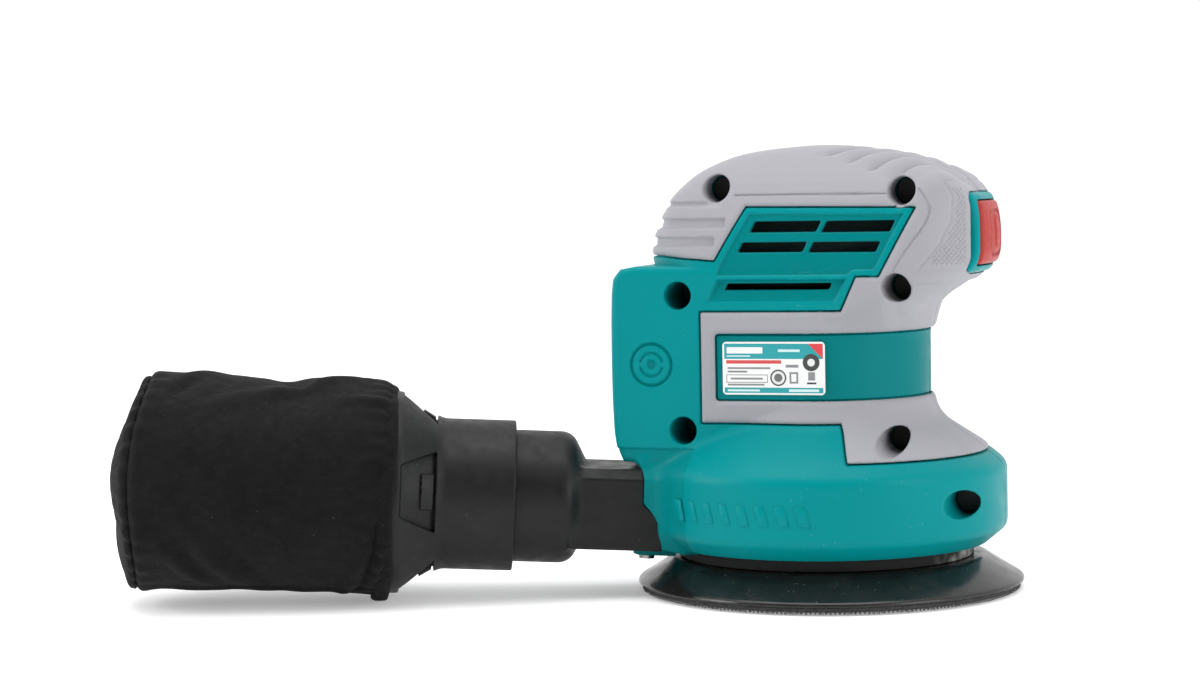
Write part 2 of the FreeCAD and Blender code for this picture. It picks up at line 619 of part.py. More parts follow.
def dock_pocket():
    """The recess that a battery slides down into, less its two rails."""
    pocket = box_shape(["pod_rear - 5", "-dock_half_width", "dock_low"],
                       ["dock_floor", "dock_half_width", "pod_top + 20"])
    above = box_shape(["handle_rear - 0.1", "-80", "pod_top - 1.5"], ["0", "80", "200"])
    pocket = pocket.cut(above)
    rails = []
    for side in (-1, 1):
        edge = value("dock_half_width")
        inner = edge - value("dock_rail_lip")
        near, far = sorted((side * inner, side * edge))
        rails.append(upright_box((value("pod_rear"), value("pod_rear + dock_rail_depth")), (near, far),
                                 (value("dock_low"), value("dock_rail_top"))))
    return pocket.cut(rails[0]).cut(rails[1])


def case_solid():
    """Both halves of the teal casing as one solid, before it is split."""
    outer = envelope(0)
    inner = envelope(value("wall"), value("skirt_low") - 1)
    lug = in_port_frame(port_lug(value("port_box_top")))
    dock = box_shape(["pod_rear", "-dock_half_width - 3", "dock_low - 3"],
                     ["dock_floor + wall", "dock_half_width + 3", "pod_top"]).common(outer)
    shelves = [ring_shape("plate_radius", "skirt_radius - 1", "plate_low", "plate_top"),
               ring_shape("shroud_radius", "skirt_radius - 1", "shroud_low", "shroud_top"),
               ring_shape("can_radius", "waist_radius - 1", "can_low + 8", "can_low + 10"),
               ring_shape("can_radius", "waist_radius - 1", "can_top - 6", "can_top - 4")]
    bosses = [Part.makeCylinder(value("boss_radius"), 120, V(x, -60, z), V(0, 1, 0))
              for x, z in CASE_SCREWS]
    board_ribs = [upright_box((x, x + value("board_rib_width")), (side * 23 - 10, side * 23 + 10),
                              (value("board_rib_low"), value("board_low")))
                  for x in (-12.0, 10.0) for side in (-1, 1)]
    inside = bosses[0].multiFuse(bosses[1:] + shelves + board_ribs).common(outer)
    shell = outer.fuse(lug).cut(inner)
    duct = Part.makeBox(40, 2 * value("duct_half_width") + 4, value("duct_top - duct_low") + 4,
                        V(40, -value("duct_half_width") - 2, value("duct_low") - 2))
    casing = shell.multiFuse([inside, dock])
    layer = outer.cut(envelope(value("grip_thickness"), value("skirt_low"))).common(grip_region())
    band = outer.cut(envelope(value("band_recess"), value("skirt_low"))).common(band_region())
    clear = [layer, band, dock_pocket(), in_port_frame(duct),
             Part.makeCylinder(value("can_radius"), value("end_bell_top - plate_top"),
                               V(0, 0, value("plate_top"))),
             Part.makeCylinder(value("fan_radius") + 1, value("plate_low - shroud_top"),
                               V(0, 0, value("shroud_top"))),
             box_shape(["dock_floor - 1", "-terminal_half_width", "terminal_low"],
                       ["dock_floor + wall + 1", "terminal_half_width", "terminal_top"]),
             bezel_window()]
    for tool in clear + vent_slots():
        casing = casing.cut(tool)
    return casing, layer


def screw_cuts(y_sign):
    """Counterbores on the screw side, pilot holes on the other."""
    cuts = []
    seat = value("bore_depth_plane")
    for x, z in CASE_SCREWS:
        if y_sign < 0:
            cuts.append(Part.makeCylinder(value("bore_radius"), 60, V(x, seat, z), V(0, -1, 0)))
            cuts.append(Part.makeCylinder(value("case_screw_radius"), -seat, V(x, seat, z), V(0, 1, 0)))
        else:
            cuts.append(Part.makeCylinder(value("case_screw_radius"), value("case_screw_end"),
                                          V(x, 0, z), V(0, 1, 0)))
    return cuts


def biggest_solid(shape):
    return max(shape.Solids, key=lambda solid: solid.Volume)


def make_housing():
    casing, layer = case_solid()
    layer = layer.cut(bezel_window())
    port_cut = in_port_frame(port_outside())
    for y_sign, side in ((-1, "right"), (1, "left")):
        low, high = sorted((0.0, 90.0 * y_sign))
        half_space = upright_box((-90, 90), (low, high), (-10, 170))
        half = casing.common(half_space)
        skin = layer.common(half_space)
        for tool in screw_cuts(y_sign):
            half = half.cut(tool)
            skin = skin.cut(tool) if y_sign < 0 else skin
        if y_sign < 0:
            half = half.fuse(port_tab()).cut(port_cut)
        feature(side + "_housing", biggest_solid(half))
        feature(side + "_grip", biggest_solid(skin))
    screws = [screw_shape(V(x, value("bore_depth_plane"), z), V(0, 1, 0), "case_head_radius",
                          "case_head_height", "case_screw_radius", "case_screw_end - bore_depth_plane")
              for x, z in CASE_SCREWS]
    feature("housing_screws", Part.makeCompound(screws))
    label = doc.addObject("Part::Box", "label")
    for prop, formula in (("Length", "label_length"), ("Width", "label_thickness"),
                          ("Height", "label_height"), ("Placement.Base.x", "label_rear"),
                          ("Placement.Base.y", "band_recess - waist_radius - label_thickness"),
                          ("Placement.Base.z", "label_low")):
        label.setExpression(prop, bound(formula))
    keep(label, "rating_label")


# ---------------------------------------------------------------- switch, board, battery contacts

def make_switch():
    proud = handle_shape(-1.2)
    button = box_shape(["button_back", "-button_half_width", "button_low"],
                       ["handle_nose + 9", "button_half_width", "button_top"])
    feature("switch_button", biggest_solid(proud.common(button)))
    window = box_shape(["bezel_back - 1", "-button_half_width - button_gap", "button_low - button_gap"],
                       ["handle_nose + 9", "button_half_width + button_gap", "button_top + button_gap"])
    feature("switch_bezel", biggest_solid(handle_shape(-0.6).common(bezel_window()).cut(window)))
    body = block("switch_body", ("switch_body_back", "-switch_body_half_width", "switch_body_low"),
                 ("button_back - switch_travel - 0.3", "switch_body_half_width", "switch_body_top"))
    keep(body, "switch_module")


def make_electrics():
    keep(block("board", ("board_rear", "-board_half_width", "board_low"),
               ("board_front", "board_half_width", "board_top")), "control_board")
    top = value("board_top")
    parts = [Part.makeCylinder(4, 7, V(-14, -6, top)), upright_box((-8, 2), (2, 12), (top, top + 4.4)),
             upright_box((6, 16), (-12, -4), (top, top + 3.4))]
    feature("board_components", Part.makeCompound(parts))
    contact = box_shape(["dock_floor - 5", "-terminal_half_width", "terminal_low"],
                        ["dock_floor + 6", "terminal_half_width", "terminal_top"])
    thick = value("blade_half_thickness")
    blades = [upright_box((value("blade_rear"), value("blade_front")), (y - thick, y + thick),
                          (value("blade_low"), value("blade_top"))) for y in (-12.0, -4.0, 4.0, 12.0)]
    for blade in blades:
        contact = contact.cut(blade)
    feature("battery_terminal_block", contact)
    feature("battery_terminals", Part.makeCompound(blades))
    start = value("blade_front")
    radius = value("lead_radius")
    bend = value("lead_bend")
    mid_board = value("(board_low + board_top) / 2")
    leads = [bent_tube([V(start, y, 71), V(start + 6, y, 71), V(start + 6, y, 82), V(-48, y, 90),
                        V(-48, y, 106), V(-38, y, 113), V(-36, y, mid_board),
                        V(value("board_rear"), y, mid_board)], radius, bend) for y in (-12.0, 12.0)]
    feature("battery_leads", Part.makeCompound(leads))
    wires = [bent_tube([V(14, y, value("end_bell_top")), V(14, y, 110), V(16, y, 114),
                        V(16, y, value("board_low"))], radius, bend) for y in (-8.0, 8.0)]
    feature("motor_leads", Part.makeCompound(wires))


# ---------------------------------------------------------------- dust port and bag

def port_outside():
    """The adapter's outside, shaped to the skirt, which the casing leaves room for."""
    half = value("port_half_width")
    low = value("port_box_low")
    top = value("port_box_top")
    start = value("port_spigot_start")
    duct_low = value("duct_low") - 2
    duct_top = value("duct_top") + 2
    spigot = Part.makeBox(20, 2 * value("duct_half_width") + 4, duct_top - duct_low,
                          V(start, -value("duct_half_width") - 2, duct_low))
    body = Part.makeBox(value("port_box_end") - start, 2 * half, top - low, V(start, -half, low))
    chamfered = [edge for edge in body.Edges
                 if abs(edge.CenterOfMass.z - top) < 0.01 and abs(abs(edge.CenterOfMass.y) - half) < 0.01]
    body = body.makeChamfer(value("port_chamfer"), chamfered)
    step = port_lug(top + 1)
    round_end = Part.makeCone(17.5, value("port_tube_radius"), 8,
                              V(value("port_shoulder_end") - 8, 0, 0), V(1, 0, 0))
    tube = Part.makeCylinder(value("port_tube_radius"), value("port_tube_end - port_shoulder_end"),
                             V(value("port_shoulder_end"), 0, 0), V(1, 0, 0))
    skirt = skirt_shape(-0.05, value("skirt_low") - 3)
    skirt.transformShape(port_placement().inverse().toMatrix())
    body = body.cut(step).cut(skirt)
    return body.multiFuse([spigot, round_end, tube])


def port_tab():
    """The casing's tongue under the adapter, with a hole for the adapter's screw."""
    low = value("port_box_low - port_tab_thickness")
    thick = value("port_tab_thickness")
    start = value("port_tab_start")
    end = value("port_tab_end")
    radius = value("port_tab_radius")
    tongue = Part.makeBox(end - start, 2 * radius, thick, V(start, -radius, low))
    root = Part.makeBox(3.0, 2 * radius, thick + 2, V(start, -radius, low))
    tip = Part.makeCylinder(radius, thick, V(end, 0, low))
    hole = Part.makeCylinder(value("port_screw_radius"), thick, V(end, 0, low))
    return in_port_frame(tongue.multiFuse([root, tip]).cut(hole))


def make_port():
    outside = port_outside()
    flat_duct = Part.makeBox(34, 2 * value("duct_half_width"), value("duct_top - duct_low"),
                             V(value("port_spigot_start") - 1, -value("duct_half_width"),
                               value("duct_low")))
    mouth = Part.makeCylinder(value("port_bore_radius"), 40, V(value("port_shoulder_end"), 0, 0),
                              V(1, 0, 0))
    taper = Part.makeCone(12.0, value("port_bore_radius"), 6,
                          V(value("port_shoulder_end") - 6, 0, 0), V(1, 0, 0))
    screw_low = value("port_box_low - port_tab_thickness")
    screw = screw_shape(V(value("port_tab_end"), 0, screw_low), V(0, 0, 1), "port_screw_head_radius",
                        "port_screw_head_radius / 2", "port_screw_radius", "port_tab_thickness + 3.6")
    adapter = outside.cut(flat_duct).cut(mouth).cut(taper).cut(screw)
    item = feature("dust_port_adapter", biggest_solid(adapter))
    item.Placement = port_placement()
    item = feature("port_screw", screw)
    item.Placement = port_placement()


def make_bag():
    tube = "port_tube_radius + collar_gap"
    collar = turned("bag_collar", [
        ("collar_start", tube), ("collar_start", "collar_radius"), ("collar_end", "collar_radius"),
        ("bag_start - 2", "bag_mouth_radius - bag_fabric - 1"),
        ("bag_start + 4", "bag_mouth_radius - bag_fabric"),
        ("bag_start + 4", "bag_mouth_radius - bag_fabric - 2.5"),
        ("bag_start - 1", "bag_mouth_radius - bag_fabric - 3.5"), ("collar_end", "port_bore_radius + 1.5"),
        ("collar_step", "port_bore_radius + 1.5"), ("collar_step", tube)], "H_Axis")
    binding = turned("bag_mouth_binding", [
        ("bag_start", "bag_mouth_radius"), ("bag_start + 3", "bag_mouth_radius"),
        ("bag_start + 3", "bag_mouth_radius + 1.2"), ("bag_start", "bag_mouth_radius + 1.2")], "H_Axis")
    bag = turned("dust_bag", [
        ("bag_start", "bag_mouth_radius - bag_fabric"), ("bag_start", "bag_mouth_radius"),
        ("bag_start + 3", "bag_mouth_radius"), ("bag_start + 20", "bag_radius"),
        ("bag_end - 20", "bag_radius"), ("bag_end - 4", "bag_radius - 3"), ("bag_end", "bag_radius - 12"),
        ("bag_end", "0"), ("bag_end - bag_fabric", "0"),
        ("bag_end - bag_fabric", "bag_radius - 12 - bag_fabric"),
        ("bag_end - 4 - bag_fabric", "bag_radius - 3 - bag_fabric"),
        ("bag_end - 20", "bag_radius - bag_fabric"), ("bag_start + 20", "bag_radius - bag_fabric"),
        ("bag_start + 3", "bag_mouth_radius - bag_fabric")], "H_Axis")
    for body in (collar, binding, bag):
        body.Placement = port_placement()
    make_bag_frame()


def make_bag_frame():
    """A wire frame inside the bag: two hoops joined by four thinner rods."""
    wire = value("hoop_wire_radius")
    hoop = value("bag_radius - bag_fabric") - 2 * wire - 0.6
    near = value("bag_start + hoop_inset")
    far = value("bag_end - hoop_inset")
    frame = Part.makeTorus(hoop, wire, V(near, 0, 0), V(1, 0, 0))
    frame = frame.fuse(Part.makeTorus(hoop, wire, V(far, 0, 0), V(1, 0, 0)))
    for number in range(4):
        angle = math.radians(45 + 90 * number)
        foot = V(near, hoop * math.cos(angle), hoop * math.sin(angle))
        frame = frame.fuse(Part.makeCylinder(value("rod_wire_radius"), far - near, foot, V(1, 0, 0)))
    item = feature("bag_frame", frame)
    item.Placement = port_placement()


make_pad()
make_spindle()
make_motor()
make_fan_chamber()
make_housing()
make_switch()
make_electrics()
make_port()
make_bag()
doc.recompute()

for item in doc.Objects:
    if "Invalid" in item.State or "Error" in item.State:
        raise RuntimeError("%s failed: %s" % (item.Label, item.State))
for item in nodes:
    if item.Shape.isNull() or not item.Shape.isValid():
        raise RuntimeError("%s has no valid shape" % item.Label)

os.makedirs("parts", exist_ok=True)
for item in nodes:
    item.Shape.exportStep("parts/%s.step" % item.Label)
    box = item.Shape.BoundBox
    print("%-24s %2d solids %9.0f mm3  x %6.1f %6.1f  y %6.1f %6.1f  z %6.1f %6.1f" % (
        item.Label, len(item.Shape.Solids), item.Shape.Volume,
        box.XMin, box.XMax, box.YMin, box.YMax, box.ZMin, box.ZMax))
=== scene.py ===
import json
import math

import bpy
import numpy as np
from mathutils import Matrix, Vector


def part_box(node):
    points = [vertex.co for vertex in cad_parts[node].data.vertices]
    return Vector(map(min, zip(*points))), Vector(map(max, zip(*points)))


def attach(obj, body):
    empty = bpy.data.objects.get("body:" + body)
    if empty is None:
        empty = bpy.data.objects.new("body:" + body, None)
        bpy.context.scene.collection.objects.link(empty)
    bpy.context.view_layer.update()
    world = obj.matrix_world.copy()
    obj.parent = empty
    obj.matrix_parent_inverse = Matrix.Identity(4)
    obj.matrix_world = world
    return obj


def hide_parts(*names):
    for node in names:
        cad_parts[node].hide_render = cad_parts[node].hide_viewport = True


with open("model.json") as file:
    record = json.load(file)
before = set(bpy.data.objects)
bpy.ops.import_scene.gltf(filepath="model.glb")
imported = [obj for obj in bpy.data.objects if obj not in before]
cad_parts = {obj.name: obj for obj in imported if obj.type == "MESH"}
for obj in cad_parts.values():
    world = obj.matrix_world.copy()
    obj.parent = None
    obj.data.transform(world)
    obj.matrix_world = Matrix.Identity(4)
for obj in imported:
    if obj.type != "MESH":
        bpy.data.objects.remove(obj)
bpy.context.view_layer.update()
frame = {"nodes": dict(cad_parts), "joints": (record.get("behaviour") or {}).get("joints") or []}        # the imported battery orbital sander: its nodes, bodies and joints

import openvdb
from mathutils import Matrix, Vector

MM = 0.001               # the sculpted forms are worked out in millimetres
VOXEL = 0.5              # spacing of the sculpting grid


def frame_box(node):
    """A CAD node's lowest and highest corners, in millimetres."""
    low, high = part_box(node)
    return [number / MM for number in low], [number / MM for number in high]


# ------------ sizes, from the frame and by design

(PAD_REAR, _, _), (PAD_FRONT, _, PAD_TOP) = frame_box("backing_pad")
PAD_X = (PAD_REAR + PAD_FRONT) / 2
PAD_RADIUS = (PAD_FRONT - PAD_REAR) / 2
HOOK_TOP = frame_box("hook_face")[1][2]
(HOUSING_REAR, _, HOUSING_LOW), (SKIRT_RADIUS, _, _) = frame_box("left_housing")
SKIRT_LOW = HOUSING_LOW + 1.2
POD_REAR = HOUSING_REAR - 1.2
CROWN = frame_box("left_grip")[1][2]
(LABEL_REAR, LABEL_FACE, LABEL_LOW), (LABEL_FRONT, LABEL_BACK, LABEL_TOP) = frame_box("rating_label")
BAND_RADIUS = -LABEL_BACK
(BEZEL_BACK, _, BEZEL_LOW), (_, BEZEL_HALF, BEZEL_TOP) = frame_box("switch_bezel")
(BUTTON_BACK, _, BUTTON_LOW), (_, BUTTON_HALF, BUTTON_TOP) = frame_box("switch_button")

HOLE_CIRCLE = 32.5       # radius of the circle that the pad's dust holes stand on
HOLE_RADIUS = 5.0
HOLE_STEP = math.pi / 4
PAD_CENTRE_RADIUS = 9.0

WALL = 3.2
HALF_GAP = 0.06          # half of the seam between the two sides
GRIP_THICKNESS = 1.6
GRIP_PROUD = 0.45
BAND_RECESS = 0.8
WAIST_RADIUS = BAND_RADIUS + BAND_RECESS
WAIST_TOP = 104.0
NOSE = 57.0
POD_LOW = 42.6
POD_TOP = 105.5
SCREW_SEAT_Y = -13.0
SCREW_BORE = 4.4
SCREW_BOSS = 6.2
SCREWS = [(-27.7, 129.7), (32.0, 128.1), (30.6, 98.3), (-38.8, 96.2), (-37.6, 53.4), (29.4, 50.4),
          (49.9, 30.9)]
GRIP_SCREWS = [SCREWS[0], SCREWS[1], SCREWS[2], SCREWS[5]]
SLEEVE_RADIUS = 5.4
SLEEVE_END_Y = -15.5

# the dust port's own frame: its X runs out along the duct from the motor axis
PORT_HEIGHT = 26.3
PORT_HALF_WIDTH = 18.0
PORT_LOW = -14.6
PORT_TOP = 11.1
PORT_CHAMFER = 3.0
PORT_STEP = 60.8         # where the casing ends over the adapter
PORT_STEP_LOW = 0.6      # the height at which that end starts to slant back
PORT_GAP = 0.15
TAB_LOW = -17.75
TAB_HALF_WIDTH = 4.4
TAB_SCREW = 57.8
TAB_SCREW_RADIUS = 1.45
ADAPTER_INNER_END = 54.5
BOX_END = 84.0
TUBE_RADIUS = 21.25
TUBE_BORE = 18.5
TUBE_END = 112.0
COLLAR_START = 101.5
COLLAR_END = 126.0
COLLAR_RADIUS = 24.25
POCKET_TURN = math.radians(7.0)
BAG_MOUTH_RADIUS = 32.3
BAG_MOUTH = 141.0
BAG_RADIUS = 33.7


def port_matrix():
    """From the port's frame to the sander's, with the duct along the bag's slide."""
    joint = next(j for j in frame["joints"] if j["name"] == "bag_pull_off")
    out = Vector(joint["axis"]).normalized()
    across = Vector((0, 0, 1)).cross(out).normalized()
    up = out.cross(across)
    turn = Matrix((out, across, up)).transposed().to_4x4()
    return Matrix.Translation((0, 0, PORT_HEIGHT)) @ turn


PORT = port_matrix()


# ------------ distance fields

FAR = np.float32(1e9)


def soften_min(a, b, radius):
    """Union of two fields with a fillet in the corner between them."""
    overlap = np.maximum(radius - np.abs(a - b), 0) / radius
    return np.minimum(a, b) - overlap * overlap * radius / 4


def soften_max(a, b, radius):
    """Common part of two fields with a rounded edge."""
    return -soften_min(-a, -b, radius)


def step(distance, width):
    """1 inside a region and 0 outside, over the given width."""
    return np.clip(0.5 - distance / width, 0, 1)


def half_plane(u, v, start, end):
    """Distance to the right of the line from start to end."""
    along_u, along_v = end[0] - start[0], end[1] - start[1]
    length = math.hypot(along_u, along_v)
    return ((u - start[0]) * along_v - (v - start[1]) * along_u) / length


def path_distance(u, v, points):
    """Distance to an open path."""
    nearest = FAR
    for (a_u, a_v), (b_u, b_v) in zip(points, points[1:]):
        along_u, along_v = b_u - a_u, b_v - a_v
        from_u, from_v = u - a_u, v - a_v
        share = np.clip((from_u * along_u + from_v * along_v) / (along_u ** 2 + along_v ** 2), 0, 1)
        nearest = np.minimum(nearest, (from_u - share * along_u) ** 2 + (from_v - share * along_v) ** 2)
    return np.sqrt(nearest)


def outline_distance(u, v, corners):
    """Signed distance to a closed outline, negative inside it."""
    closed = corners + corners[:1]
    inside = False
    for (a_u, a_v), (b_u, b_v) in zip(closed, closed[1:]):
        if b_v != a_v:
            crossing = (b_u - a_u) * (v - a_v) / (b_v - a_v)
            inside = inside ^ (((a_v > v) != (b_v > v)) & (u - a_u < crossing))
    return np.where(inside, -1, 1) * path_distance(u, v, closed)


def box_distance(u, v, low, high, radius=0.0):
    """Signed distance to a rectangle with rounded corners."""
    over_u = np.abs(u - (low[0] + high[0]) / 2) - (high[0] - low[0]) / 2 + radius
    over_v = np.abs(v - (low[1] + high[1]) / 2) - (high[1] - low[1]) / 2 + radius
    outside = np.sqrt(np.maximum(over_u, 0) ** 2 + np.maximum(over_v, 0) ** 2)
    return outside + np.minimum(np.maximum(over_u, over_v), 0) - radius


def smooth_path(points, steps=5):
    """A Catmull-Rom curve through the points."""
    ends = [points[0]] + list(points) + [points[-1]]
    path = []
    for before, a, b, after in zip(ends, ends[1:], ends[2:], ends[3:]):
        for number in range(steps):
            t = number / steps
            path.append(tuple(
                0.5 * (2 * p1 + (p2 - p0) * t + (2 * p0 - 5 * p1 + 4 * p2 - p3) * t * t
                       + (3 * p1 - p0 - 3 * p2 + p3) * t ** 3)
                for p0, p1, p2, p3 in zip(before, a, b, after)))
    return path + [tuple(points[-1])]


# ------------ from a field to a mesh

def mesh_object(name, points, faces_of_sizes):
    """A mesh object from arrays of points and of faces with 3 or 4 corners each."""
    mesh = bpy.data.meshes.new(name)
    faces = [faces for faces in faces_of_sizes if len(faces)]
    sizes = np.concatenate([np.full(len(part), part.shape[1]) for part in faces])
    corners = np.concatenate([part.reshape(-1) for part in faces])
    mesh.vertices.add(len(points))
    mesh.vertices.foreach_set("co", np.asarray(points, np.float32).reshape(-1))
    mesh.loops.add(len(corners))
    mesh.loops.foreach_set("vertex_index", corners.astype(np.int32))
    mesh.polygons.add(len(sizes))
    starts = np.concatenate([[0], np.cumsum(sizes)[:-1]])
    mesh.polygons.foreach_set("loop_start", starts.astype(np.int32))
    mesh.update(calc_edges=True)
    mesh.validate()
    piece = bpy.data.objects.new(name, mesh)
    bpy.context.scene.collection.objects.link(piece)
    return piece


def coordinates(mesh):
    """The mesh's points, one in each row."""
    points = np.zeros(len(mesh.vertices) * 3, np.float32)
    mesh.vertices.foreach_get("co", points)
    return points.reshape(-1, 3)


def placed(points, matrix):
    """Points, one in each row, turned and moved by a matrix."""
    return points @ np.array(matrix.to_3x3()).T + np.array(matrix.translation)


def gradient(field, points, reach=0.05):
    """A field's value and slope at each point."""
    x, y, z = points.T
    here = field(x, y, z)
    slope = np.stack([field(x + reach, y, z) - here, field(x, y + reach, z) - here,
                      field(x, y, z + reach) - here], 1) / reach
    return here, slope


def keep_largest(points, quads):
    """The faces of the largest connected part."""
    label = np.arange(len(points))
    while True:
        lowest = label[quads].min(1)
        update = label.copy()
        for corner in range(4):
            np.minimum.at(update, quads[:, corner], lowest)
        update = update[update]
        if np.array_equal(update, label):
            break
        label = update
    owners = label[quads[:, 0]]
    names, counts = np.unique(owners, return_counts=True)
    return quads[owners == names[counts.argmax()]]


def sculpt(name, field, low, high, voxel=VOXEL, budget=150000, matrix=Matrix.Identity(4)):
    """A closed mesh of the field's zero surface, moved onto the exact field and shaded by its slope."""
    x, y, z = [np.arange(a, b + voxel, voxel, dtype=np.float32) for a, b in zip(low, high)]
    values = field(x[:, None, None], y[None, :, None], z[None, None, :])
    values = np.broadcast_to(values, (len(x), len(y), len(z)))
    reach = 3 * voxel
    grid = openvdb.FloatGrid(reach)
    grid.copyFromArray(np.ascontiguousarray(np.clip(values, -reach, reach), np.float32))
    points, _, quads = grid.convertToPolygons(isovalue=0, adaptivity=0)
    points = points * voxel + np.array(low, np.float32)
    quads = keep_largest(points, quads)
    used, quads = np.unique(quads, return_inverse=True)
    piece = mesh_object(name, points[used], [quads.reshape(-1, 4)])
    if 2 * len(piece.data.polygons) > budget:
        thin = piece.modifiers.new("thin", "DECIMATE")
        thin.ratio = budget / (2 * len(piece.data.polygons))
        apply_modifiers(piece)
    points = coordinates(piece.data)
    for _ in range(2):
        here, slope = gradient(field, points)
        size = np.maximum((slope ** 2).sum(1), 0.25)
        move = -(here / size)[:, None] * slope
        points = points + np.clip(move, -voxel / 2, voxel / 2)
    slope = gradient(field, points)[1]
    normals = slope / np.maximum(np.linalg.norm(slope, axis=1), 1e-6)[:, None]
    turn = np.array(matrix.to_3x3())
    points = placed(points, matrix) * MM
    piece.data.vertices.foreach_set("co", points.astype(np.float32).reshape(-1))
    smooth(piece)
    piece.data.normals_split_custom_set_from_vertices([tuple(n) for n in normals @ turn.T])
    piece.data.update()
    return piece


def apply_modifiers(piece):
    """The mesh as its modifiers leave it, with none left on."""
    evaluated = piece.evaluated_get(bpy.context.evaluated_depsgraph_get())
    mesh = bpy.data.meshes.new_from_object(evaluated)
    piece.modifiers.clear()
    old = piece.data
    piece.data = mesh
    bpy.data.meshes.remove(old)


def smooth(piece):
    """Smooth shading on every face."""
    piece.data.polygons.foreach_set("use_smooth", [True] * len(piece.data.polygons))


# ------------ the casing's form

POD_SIDE = [(-58.4, POD_LOW), (-60.2, 46.5), (-61.6, 53.0), (-62.4, 63.0), (POD_REAR, 76.0), (-62.3, 88.0),
            (-61.7, 97.0), (-60.8, 101.5), (-58.0, 104.6), (-53.0, POD_TOP), (0, POD_TOP), (0, POD_LOW)]
CROWN_LINE = [(-55.2, 106.0), (-52.6, 113.5), (-45.0, 123.5), (-38.8, 131.0), (-33.4, 135.6),
              (-23.0, 140.2), (-9.0, 142.3), (3.0, CROWN + 0.2), (16.0, 141.8), (28.0, 139.7),
              (37.4, 136.6), (45.4, 132.3), (51.4, 127.2), (55.2, 121.7), (NOSE, 115.0), (56.4, 108.0),
              (53.0, 101.8)]
HANDLE_LOW = 87.0
HANDLE_SIDE = smooth_path(CROWN_LINE, 4) + [(47.6, 98.4), (41.8, 95.2), (36.6, 92.2), (33.6, HANDLE_LOW),
                                           (-34.5, HANDLE_LOW)]
ARCH_TOP = 144.4
ARCH = smooth_path([(33.0, HANDLE_LOW), (34.8, 91.0), (35.5, 96.0), (35.4, 104.0), (34.5, 110.0),
                    (32.0, 119.5), (26.2, 131.0), (16.0, 140.0), (6.0, 143.8), (0.0, ARCH_TOP)], 4)
ARCH = ARCH + [(-40.0, ARCH_TOP), (-40.0, HANDLE_LOW)]
HANDLE_HALF_WIDTH = 34.6
HANDLE_REAR_RADIUS = 40.0
HANDLE_REAR = -55.7
NOSE_CENTRE = NOSE - HANDLE_HALF_WIDTH
SKIRT_FOOT = (52.2, SKIRT_LOW), (SKIRT_RADIUS, 20.5)
SHOULDER = (54.2, 44.6)
SHOULDER_FOOT = (SKIRT_RADIUS, 40.4)
CONE_TOP = (38.8, 54.6)
POD_CORNER = 4.5


def skirt(x, y, z):
    """Skirt, shoulder, cone and waist, all turned about the motor axis."""
    r = np.sqrt(x * x + y * y)
    foot = half_plane(r, z, *SKIRT_FOOT)
    shoulder = half_plane(r, z, SHOULDER_FOOT, SHOULDER)
    cone = half_plane(r, z, SHOULDER, CONE_TOP)
    solid = soften_max(soften_max(r - SKIRT_RADIUS, foot, 1.6), soften_max(shoulder, cone, 1.2), 1.8)
    waist = np.maximum(r - WAIST_RADIUS, z - WAIST_TOP)
    return soften_min(solid, waist, 6.0)


def pod(x, y, z):
    """The upright block of the battery dock."""
    side = outline_distance(x, z, POD_SIDE)
    plan = box_distance(x, y, (POD_REAR, -WAIST_RADIUS), (60.0, WAIST_RADIUS), POD_CORNER)
    return soften_max(side, plan, 2.5)


def handle(x, y, z):
    """The palm handle: side outline, plan and arched section, cut under by a cone."""
    side = outline_distance(x, z, HANDLE_SIDE)
    arch = outline_distance(np.abs(y), z, ARCH)
    fuller = 3.0 * np.clip((NOSE_CENTRE - x) / 26, 0, 1) ** 1.5
    nose = np.sqrt(np.maximum(x - NOSE_CENTRE, 0) ** 2 + y * y) - HANDLE_HALF_WIDTH - fuller
    rear_centre = HANDLE_REAR + HANDLE_REAR_RADIUS
    rear = np.sqrt(np.minimum(x - rear_centre, 0) ** 2 + y * y) - HANDLE_REAR_RADIUS
    plan = soften_max(nose, rear, 1.0)
    form = soften_max(soften_max(side, plan, 4.0), arch, 4.0)
    under = half_plane(np.sqrt(x * x + y * y), z, (34.8, 86.0), (52.0, 101.0))
    return soften_max(form, under, 4.0)


def casing(x, y, z):
    """The whole casing, open at the bottom."""
    low = np.clip((60.0 - z) / 6, 0, 1)
    body = soften_min(skirt(x, y, z), pod(x, y, z), 0.2 + 2.8 * low)
    front = np.clip((x - 4) / 22, 0, 1)
    return soften_min(body, handle(x, y, z), 0.2 + 7.3 * front)


# ------------ regions drawn on the casing's sides

VENT_PANEL = [(-26.6, 106.8), (-17.2, 123.6), (36.2, 122.8), (25.4, 102.0), (18.2, 102.0), (13.4, 91.4),
              (-31.8, 91.4)]
GRIP_OUTLINE = [(-80, 108.2), (-45.2, 108.2)] + VENT_PANEL + [
    (-31.8, 55.6), (13.2, 55.6), (18.2, 44.6), (80, 44.6), (80, 160), (-80, 160)]
BAND_LOW, BAND_TOP, BAND_REAR = 63.4, 83.7, -26.4
SLOTS = [(-15.8, 5.6, 115.8, 119.2), (7.2, 28.9, 115.6, 119.1), (-19.4, 1.5, 109.6, 112.7),
         (3.3, 24.6, 109.4, 112.6), (-23.6, 9.9, 97.9, 99.9)]
SLOT_SLANT = 0.45
PAINTED_SHADE_BOX_DEPTH = 7.0       # how far the dark box of painted shade behind the slots reaches in from the wall
SLOT_FIELD = [(-29.4, 93.9), (11.6, 93.9), (15.2, 100.9), (-25.6, 100.9)]
PANEL_RIDGE = 101.8
EMBLEM = (-47.8, 74.3)
POD_PANEL = (-62.0, -33.0, 47.6)    # rear, front and top of the pod's recessed foot
# the point value that paints shade into the casing's band, louvre panel and pod foot
RECESS_SHADE_MARK = "recessed"

